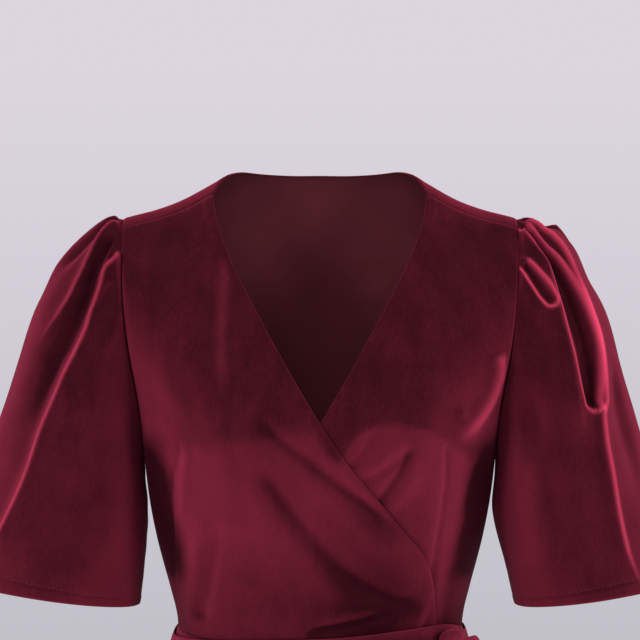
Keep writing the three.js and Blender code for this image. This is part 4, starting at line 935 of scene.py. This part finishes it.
def velvet(name, dark, sheen, nap=0.55):
    """Short-pile velvet: dark face-on, bright where the pile is seen side-on; the pile lies downwards."""
    m = bpy.data.materials.new(name)
    m.use_nodes = True
    nodes, links = m.node_tree.nodes, m.node_tree.links
    nodes.clear()

    def node(kind, **values):
        n = nodes.new(kind)
        for key, value in values.items():
            if key in n.inputs:
                n.inputs[key].default_value = value
            else:
                setattr(n, key, value)
        return n
    output = node("ShaderNodeOutputMaterial")
    place = node("ShaderNodeTexCoord")
    geometry = node("ShaderNodeNewGeometry")
    # the pile's lean, and soft patches where it has been brushed another way
    lean = node("ShaderNodeVectorMath", operation="ADD")
    lean.inputs[1].default_value = (0, 0, -nap)
    brushed = node("ShaderNodeTexNoise", Scale=9.0, Detail=3.0, Roughness=0.55)
    shifted = node("ShaderNodeVectorMath", operation="SUBTRACT")
    shifted.inputs[1].default_value = (0.5, 0.5, 0.5)
    scaled = node("ShaderNodeVectorMath", operation="SCALE", Scale=0.3)
    joined = node("ShaderNodeVectorMath", operation="ADD")
    unit = node("ShaderNodeVectorMath", operation="NORMALIZE")
    links.new(geometry.outputs["Normal"], lean.inputs[0])
    links.new(place.outputs["Object"], brushed.inputs["Vector"])
    links.new(brushed.outputs["Color"], shifted.inputs[0])
    links.new(shifted.outputs[0], scaled.inputs[0])
    links.new(lean.outputs[0], joined.inputs[0])
    links.new(scaled.outputs[0], joined.inputs[1])
    links.new(joined.outputs[0], unit.inputs[0])
    # the pile's own grain
    grain = node("ShaderNodeTexNoise", Scale=1400.0, Detail=2.0, Roughness=0.6)
    links.new(place.outputs["Object"], grain.inputs["Vector"])
    bump = node("ShaderNodeBump", Strength=0.25, Distance=0.0003)
    links.new(grain.outputs["Fac"], bump.inputs["Height"])
    links.new(unit.outputs[0], bump.inputs["Normal"])
    # base tone, a little uneven
    patches = node("ShaderNodeTexNoise", Scale=22.0, Detail=4.0, Roughness=0.6)
    links.new(place.outputs["Object"], patches.inputs["Vector"])
    tone = node("ShaderNodeValToRGB")
    tone.color_ramp.elements[0].position = 0.3
    tone.color_ramp.elements[0].color = (*[c * 0.8 for c in dark], 1)
    tone.color_ramp.elements[1].position = 0.7
    tone.color_ramp.elements[1].color = (*[min(1, c * 1.25) for c in dark], 1)
    links.new(patches.outputs["Fac"], tone.inputs["Fac"])
    # painted shade: the colour darkens by ambient occlusion in hollows between folds and under the sleeves
    hollow = node("ShaderNodeAmbientOcclusion", Distance=HOLLOW_REACH)
    hollow.samples = 8
    shade = node("ShaderNodeMapRange", interpolation_type="LINEAR")
    shade.inputs["From Min"].default_value = 0.25
    shade.inputs["From Max"].default_value = 0.95
    shade.inputs["To Min"].default_value = 0.46
    shade.inputs["To Max"].default_value = 1.0
    links.new(hollow.outputs["AO"], shade.inputs["Value"])
    # painted light from the mesh: above zero it adds a painted highlight, below zero it darkens the colour as painted
    # shade
    painted_light = node("ShaderNodeAttribute", attribute_name="painted_light")
    painted_shade_scale = node("ShaderNodeMapRange", interpolation_type="LINEAR")
    painted_shade_scale.inputs["From Min"].default_value = -1.0
    painted_shade_scale.inputs["From Max"].default_value = 0.0
    links.new(painted_light.outputs["Fac"], painted_shade_scale.inputs["Value"])
    shade_all = node("ShaderNodeMath", operation="MULTIPLY")
    links.new(shade.outputs["Result"], shade_all.inputs[0])
    links.new(painted_shade_scale.outputs["Result"], shade_all.inputs[1])
    shaded_tone = node("ShaderNodeVectorMath", operation="SCALE")
    links.new(tone.outputs["Color"], shaded_tone.inputs[0])
    links.new(shade_all.outputs[0], shaded_tone.inputs["Scale"])
    shaded_sheen = node("ShaderNodeVectorMath", operation="SCALE")
    shaded_sheen.inputs[0].default_value = sheen
    links.new(shade_all.outputs[0], shaded_sheen.inputs["Scale"])
    cloth = node("ShaderNodeBsdfPrincipled")
    cloth.inputs["Roughness"].default_value = 0.8
    cloth.inputs["Specular IOR Level"].default_value = 0.04
    cloth.inputs["Sheen Weight"].default_value = 0.06
    cloth.inputs["Sheen Roughness"].default_value = 0.35
    cloth.inputs["Sheen Tint"].default_value = (*sheen, 1)
    links.new(shaded_tone.outputs[0], cloth.inputs["Base Color"])
    links.new(bump.outputs["Normal"], cloth.inputs["Normal"])
    # pile seen side-on
    rim = node("ShaderNodeBsdfDiffuse", Roughness=0.6)
    links.new(shaded_sheen.outputs[0], rim.inputs["Color"])
    links.new(bump.outputs["Normal"], rim.inputs["Normal"])
    facing = node("ShaderNodeLayerWeight", Blend=0.5)
    links.new(bump.outputs["Normal"], facing.inputs["Normal"])
    curve = node("ShaderNodeMapRange", interpolation_type="SMOOTHSTEP")
    curve.inputs["From Min"].default_value = 0.02
    curve.inputs["From Max"].default_value = 0.9
    curve.inputs["To Min"].default_value = 0.0
    curve.inputs["To Max"].default_value = 0.22
    links.new(facing.outputs["Facing"], curve.inputs["Value"])
    # tufts that lean a little apart, in short upright streaks, and soft crushed patches
    streaks = node("ShaderNodeVectorMath", operation="MULTIPLY")
    streaks.inputs[1].default_value = (1, 1, 0.4)
    links.new(place.outputs["Object"], streaks.inputs[0])
    parts = [curve.outputs["Result"]]
    for scale, detail, depth in TUFTS:
        tufts = node("ShaderNodeTexNoise", Scale=scale, Detail=detail, Roughness=0.65)
        links.new(streaks.outputs[0], tufts.inputs["Vector"])
        spread = node("ShaderNodeMapRange", interpolation_type="LINEAR")
        spread.inputs["From Min"].default_value = 0.3
        spread.inputs["From Max"].default_value = 0.7
        spread.inputs["To Min"].default_value = -depth
        spread.inputs["To Max"].default_value = depth
        links.new(tufts.outputs["Fac"], spread.inputs["Value"])
        summed = node("ShaderNodeMath", operation="ADD")
        links.new(parts[-1], summed.inputs[0])
        links.new(spread.outputs["Result"], summed.inputs[1])
        parts.append(summed.outputs[0])
    # how far the colour goes to the bright side-on tone: the sheen by facing, the tufts, and the painted light
    sheen_and_painted_light = node("ShaderNodeMath", operation="ADD", use_clamp=True)
    links.new(parts[-1], sheen_and_painted_light.inputs[0])
    links.new(painted_light.outputs["Fac"], sheen_and_painted_light.inputs[1])
    blend = node("ShaderNodeMixShader")
    links.new(sheen_and_painted_light.outputs[0], blend.inputs["Fac"])
    links.new(cloth.outputs["BSDF"], blend.inputs[1])
    links.new(rim.outputs["BSDF"], blend.inputs[2])
    links.new(blend.outputs["Shader"], output.inputs["Surface"])
    return m


def backing(name, colour):
    """The wrong side of the velvet: a plain fine knit."""
    m = bpy.data.materials.new(name)
    m.use_nodes = True
    nodes, links = m.node_tree.nodes, m.node_tree.links
    cloth = nodes["Principled BSDF"]
    cloth.inputs["Roughness"].default_value = 0.85
    cloth.inputs["Specular IOR Level"].default_value = 0.15
    cloth.inputs["Sheen Weight"].default_value = 0.08
    cloth.inputs["Sheen Tint"].default_value = (0.5, 0.15, 0.2, 1)
    place = nodes.new("ShaderNodeTexCoord")
    ribs = nodes.new("ShaderNodeTexWave")
    ribs.inputs["Scale"].default_value = 320
    ribs.inputs["Distortion"].default_value = 1.5
    ribs.inputs["Detail"].default_value = 1
    links.new(place.outputs["Object"], ribs.inputs["Vector"])
    bump = nodes.new("ShaderNodeBump")
    bump.inputs["Strength"].default_value = 0.3
    bump.inputs["Distance"].default_value = 0.0003
    links.new(ribs.outputs["Fac"], bump.inputs["Height"])
    links.new(bump.outputs["Normal"], cloth.inputs["Normal"])
    mottle = nodes.new("ShaderNodeTexNoise")
    mottle.inputs["Scale"].default_value = 30
    links.new(place.outputs["Object"], mottle.inputs["Vector"])
    tone = nodes.new("ShaderNodeValToRGB")
    tone.color_ramp.elements[0].color = (*[c * 0.8 for c in colour], 1)
    tone.color_ramp.elements[1].color = (*[min(1, c * 1.2) for c in colour], 1)
    links.new(mottle.outputs["Fac"], tone.inputs["Fac"])
    links.new(tone.outputs["Color"], cloth.inputs["Base Color"])
    return m


def thread_material():
    """Sewing thread a shade lighter than the cloth, twisted."""
    m = bpy.data.materials.new("thread")
    m.use_nodes = True
    nodes, links = m.node_tree.nodes, m.node_tree.links
    cotton = nodes["Principled BSDF"]
    cotton.inputs["Roughness"].default_value = 0.6
    place = nodes.new("ShaderNodeTexCoord")
    twist = nodes.new("ShaderNodeTexNoise")
    twist.inputs["Scale"].default_value = 2600
    links.new(place.outputs["Object"], twist.inputs["Vector"])
    tone = nodes.new("ShaderNodeValToRGB")
    tone.color_ramp.elements[0].color = (0.07, 0.006, 0.014, 1)
    tone.color_ramp.elements[1].color = (0.15, 0.013, 0.03, 1)
    links.new(twist.outputs["Fac"], tone.inputs["Fac"])
    links.new(tone.outputs["Color"], cotton.inputs["Base Color"])
    bump = nodes.new("ShaderNodeBump")
    bump.inputs["Strength"].default_value = 0.3
    bump.inputs["Distance"].default_value = 0.0001
    links.new(twist.outputs["Fac"], bump.inputs["Height"])
    links.new(bump.outputs["Normal"], cotton.inputs["Normal"])
    return m


HOLLOW_REACH = 0.12
TUFTS = ((520.0, 3.0, 0.013), (45.0, 3.0, 0.013))
VELVET_DARK = (0.04, 0.0033, 0.0075)
VELVET_SHEEN = (0.98, 0.09, 0.2)
velvet_main = velvet("velvet", VELVET_DARK, VELVET_SHEEN)
# the sash is the same velvet with a base colour about two and a half times lighter: painted light against the shade at
# the waist
velvet_sash_painted_lighter = velvet("velvet_sash_painted_lighter", (0.1, 0.0085, 0.019), VELVET_SHEEN, nap=0.4)
thread = thread_material()
wrong_side = backing("velvet_wrong_side", (0.085, 0.012, 0.019))


# Pieces

def cloth_piece(node, grids, closed, materials, flat, fill):
    painted_light = grids[2] if len(grids) > 2 else np.zeros(grids[0].shape[:2])
    piece = wall_mesh("cloth_" + node, grids[0], grids[1], painted_light, closed, materials)
    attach(piece, "root")
    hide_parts(node)
    print("AREA", node, round(half_area(piece), 4), "flat", round(flat[0] * flat[1], 4), "declared",
          round(fill * flat[0] * flat[1], 4), "faces", len(piece.data.polygons))
    return piece


def hem_stitches(name, grids, row, closed):
    """A row of small stitches along a hem, each pulled into the cloth at its ends."""
    length, gap, sides = 2.5, 1.5, 6
    low, part = int(row), row - int(row)
    line = mix(grids[0][low], grids[0][low + 1], part)
    under = mix(grids[1][low], grids[1][low + 1], part)
    if closed:
        line, under = np.vstack([line, line[:1]]), np.vstack([under, under[:1]])
    places = np.concatenate([[0], np.cumsum(np.linalg.norm(np.diff(line, axis=0), axis=1))])
    starts = np.arange(3, places[-1] - length - 3, length + gap)
    at = starts[:, None] + length * np.array([0, 0.5, 1])
    centre = np.stack([np.interp(at, places, line[:, k]) for k in range(3)], axis=-1)
    out = centre - np.stack([np.interp(at, places, under[:, k]) for k in range(3)], axis=-1)
    out /= np.linalg.norm(out, axis=-1, keepdims=True)
    along = centre[:, 2:] - centre[:, :1]
    along /= np.linalg.norm(along, axis=-1, keepdims=True)
    aside = np.cross(out, along)
    centre = centre + out * np.array([-0.2, 0.12, -0.2])[:, None]
    turn = np.arange(sides) * 2 * math.pi / sides
    radius = np.array([0.12, 0.24, 0.12])[:, None, None]
    rings = centre[:, :, None] + radius * (out[:, :, None] * np.sin(turn)[:, None] + aside[:, :, None] * np.cos(turn)[:, None])
    points = rings.reshape(-1, 3) * MM
    c = np.arange(sides)
    d = (c + 1) % sides
    quads = np.vstack([np.stack([c + k, d + k, d + k + sides, c + k + sides], 1) for k in (0, sides)])
    first = 3 * sides * np.arange(len(starts))
    faces = [(quad + k).tolist() for k in first for quad in quads]
    faces += [(c[::-1] + k).tolist() for k in first] + [(c + 2 * sides + k).tolist() for k in first]
    mesh = bpy.data.meshes.new(name)
    mesh.from_pydata(points.tolist(), [], faces)
    mesh.materials.append(thread)
    mesh.polygons.foreach_set("use_smooth", np.ones(len(mesh.polygons), bool))
    piece = bpy.data.objects.new(name, mesh)
    bpy.context.scene.collection.objects.link(piece)
    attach(piece, "root")


PANEL = [velvet_main, wrong_side]
SASH = [velvet_sash_painted_lighter, velvet_sash_painted_lighter]
cloth_piece("bodice_front_outer", outer_front(), False, PANEL, (0.3, 0.42), 0.7)
cloth_piece("bodice_front_inner", inner_front(), False, PANEL, (0.3, 0.42), 0.7)
cloth_piece("bodice_back", back(), False, PANEL, (0.42, 0.47), 0.9)
for side, hand in ((-1, "right"), (1, "left")):
    grids = sleeve(side)
    cloth_piece("sleeve_" + hand, grids, True, PANEL, (0.54, 0.36), 0.8)
    hem_stitches("stitches_sleeve_" + hand, grids, 133.5, True)
for node, grids in skirt_panels().items():
    flat, fill = ((0.98, 0.6), 0.72) if node == "skirt_back" else ((0.76, 0.57), 0.66)
    cloth_piece(node, grids, False, PANEL, flat, fill)
    hem_stitches("stitches_" + node, grids, 125.4, False)
cloth_piece("belt_band", belt(), True, SASH, (0.72, 0.037), 1)
for hand in ("right", "left"):
    flat = (0.15 if hand == "right" else 0.066, 0.037)
    cloth_piece("bow_loop_" + hand, bow_loop(hand), False, SASH, flat, 1)
for node in TAIL_PATHS:
    cloth_piece(node, tail(node), False, SASH, (0.4 if node == "tie_tail_long" else 0.32, 0.037),
                0.95)


def knot_piece():
    rings = knot()
    rows, columns = rings.shape[:2]
    points = np.concatenate([rings.reshape(-1, 3), rings[:1].mean(axis=1), rings[-1:].mean(axis=1)]) * MM
    faces = []
    for r in range(rows - 1):
        for c in range(columns):
            d = (c + 1) % columns
            faces.append([r * columns + c, r * columns + d, (r + 1) * columns + d, (r + 1) * columns + c])
    for c in range(columns):
        d = (c + 1) % columns
        faces.append([rows * columns, d, c])
        faces.append([rows * columns + 1, (rows - 1) * columns + c, (rows - 1) * columns + d])
    mesh = bpy.data.meshes.new("cloth_tie_knot")
    mesh.from_pydata(points.tolist(), [], faces)
    mesh.materials.append(velvet_sash_painted_lighter)
    mesh.polygons.foreach_set("use_smooth", np.ones(len(mesh.polygons), bool))
    bm = bmesh.new()
    bm.from_mesh(mesh)
    bmesh.ops.recalc_face_normals(bm, faces=bm.faces)
    bm.to_mesh(mesh)
    bm.free()
    piece = bpy.data.objects.new("cloth_tie_knot", mesh)
    bpy.context.scene.collection.objects.link(piece)
    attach(piece, "root")
    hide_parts("tie_knot")
    print("AREA tie_knot", round(half_area(piece), 5), "flat", 0.04 * 0.037)


knot_piece()


# Stage, light and camera

FLOOR_RADIUS, FLOOR_GAP = 3.2, 0.28
# the wall's colour for the camera is darker towards the floor: painted shade on the backdrop
WALL_LOW, WALL_HIGH = (0.54, 0.53, 0.58, 1), (0.72, 0.67, 0.74, 1)
WALL_RISE = (-0.23, 0.03)


def stage():
    """A pale round floor; the plain wall behind is the world's own colour, so it is the same from all sides."""
    paint = bpy.data.materials.new("stage_paint")
    paint.use_nodes = True
    shade = paint.node_tree.nodes["Principled BSDF"]
    shade.inputs["Base Color"].default_value = (0.6, 0.57, 0.61, 1)
    shade.inputs["Roughness"].default_value = 0.9
    bm = bmesh.new()
    bmesh.ops.create_circle(bm, cap_ends=True, segments=96, radius=FLOOR_RADIUS)
    mesh = bpy.data.meshes.new("stage_floor")
    bm.to_mesh(mesh)
    bm.free()
    mesh.transform(Matrix.Translation((0, 0, HEM_Z * MM - FLOOR_GAP)))
    mesh.materials.append(paint)
    floor = bpy.data.objects.new("stage_floor", mesh)
    bpy.context.scene.collection.objects.link(floor)


def area_light(name, place, target, size, power, colour=(1, 1, 1)):
    data = bpy.data.lights.new(name, "AREA")
    data.shape = "RECTANGLE"
    data.size, data.size_y = size
    data.energy = power
    data.color = colour
    light = bpy.data.objects.new(name, data)
    light.location = place
    direction = Vector(target) - Vector(place)
    light.rotation_euler = direction.to_track_quat("-Z", "Y").to_euler()
    bpy.context.scene.collection.objects.link(light)


def lights():
    area_light("key", (2.5, -2.3, 1.0), (0, 0, -0.25), (1.0, 1.4), 59)
    area_light("fill", (-2.3, -2.5, 1.0), (0, 0, -0.25), (1.0, 1.4), 50)
    area_light("front", (-0.3, -3.2, 1.1), (0, 0, -0.3), (1.6, 1.2), 32)
    area_light("back", (0.9, 3.0, 1.3), (0, 0, -0.4), (1.6, 1.6), 40)
    world = bpy.data.worlds.new("studio")
    world.use_nodes = True
    tree = world.node_tree
    light = tree.nodes["Background"]
    light.inputs["Color"].default_value = (0.9, 0.9, 0.94, 1)
    light.inputs["Strength"].default_value = 0.47
    wall = tree.nodes.new("ShaderNodeBackground")
    direction = tree.nodes.new("ShaderNodeTexCoord")
    split = tree.nodes.new("ShaderNodeSeparateXYZ")
    tree.links.new(direction.outputs["Generated"], split.inputs[0])
    rise = tree.nodes.new("ShaderNodeMapRange")
    rise.inputs["From Min"].default_value, rise.inputs["From Max"].default_value = WALL_RISE
    tree.links.new(split.outputs["Z"], rise.inputs["Value"])
    shade = tree.nodes.new("ShaderNodeMix")
    shade.data_type = "RGBA"
    shade.inputs["A"].default_value = WALL_LOW
    shade.inputs["B"].default_value = WALL_HIGH
    tree.links.new(rise.outputs["Result"], shade.inputs["Factor"])
    tree.links.new(shade.outputs["Result"], wall.inputs["Color"])
    ray = tree.nodes.new("ShaderNodeLightPath")
    pick = tree.nodes.new("ShaderNodeMixShader")
    tree.links.new(ray.outputs["Is Camera Ray"], pick.inputs[0])
    tree.links.new(light.outputs[0], pick.inputs[1])
    tree.links.new(wall.outputs[0], pick.inputs[2])
    tree.links.new(pick.outputs[0], tree.nodes["World Output"].inputs["Surface"])
    bpy.context.scene.world = world


def camera():
    distance, pitch, aim = 2.0, math.radians(5), -0.119
    focal_px, image = 2150, 640
    data = bpy.data.cameras.new("camera")
    data.sensor_width = 36
    data.lens = focal_px / image * 36
    eye = bpy.data.objects.new("camera", data)
    eye.location = (0, -distance * math.cos(pitch), aim + distance * math.sin(pitch))
    eye.rotation_euler = (math.pi / 2 - pitch, 0, 0)
    bpy.context.scene.collection.objects.link(eye)
    bpy.context.scene.camera = eye


stage()
lights()
camera()
bpy.context.scene.view_settings.view_transform = "Standard"
bpy.context.view_layer.update()
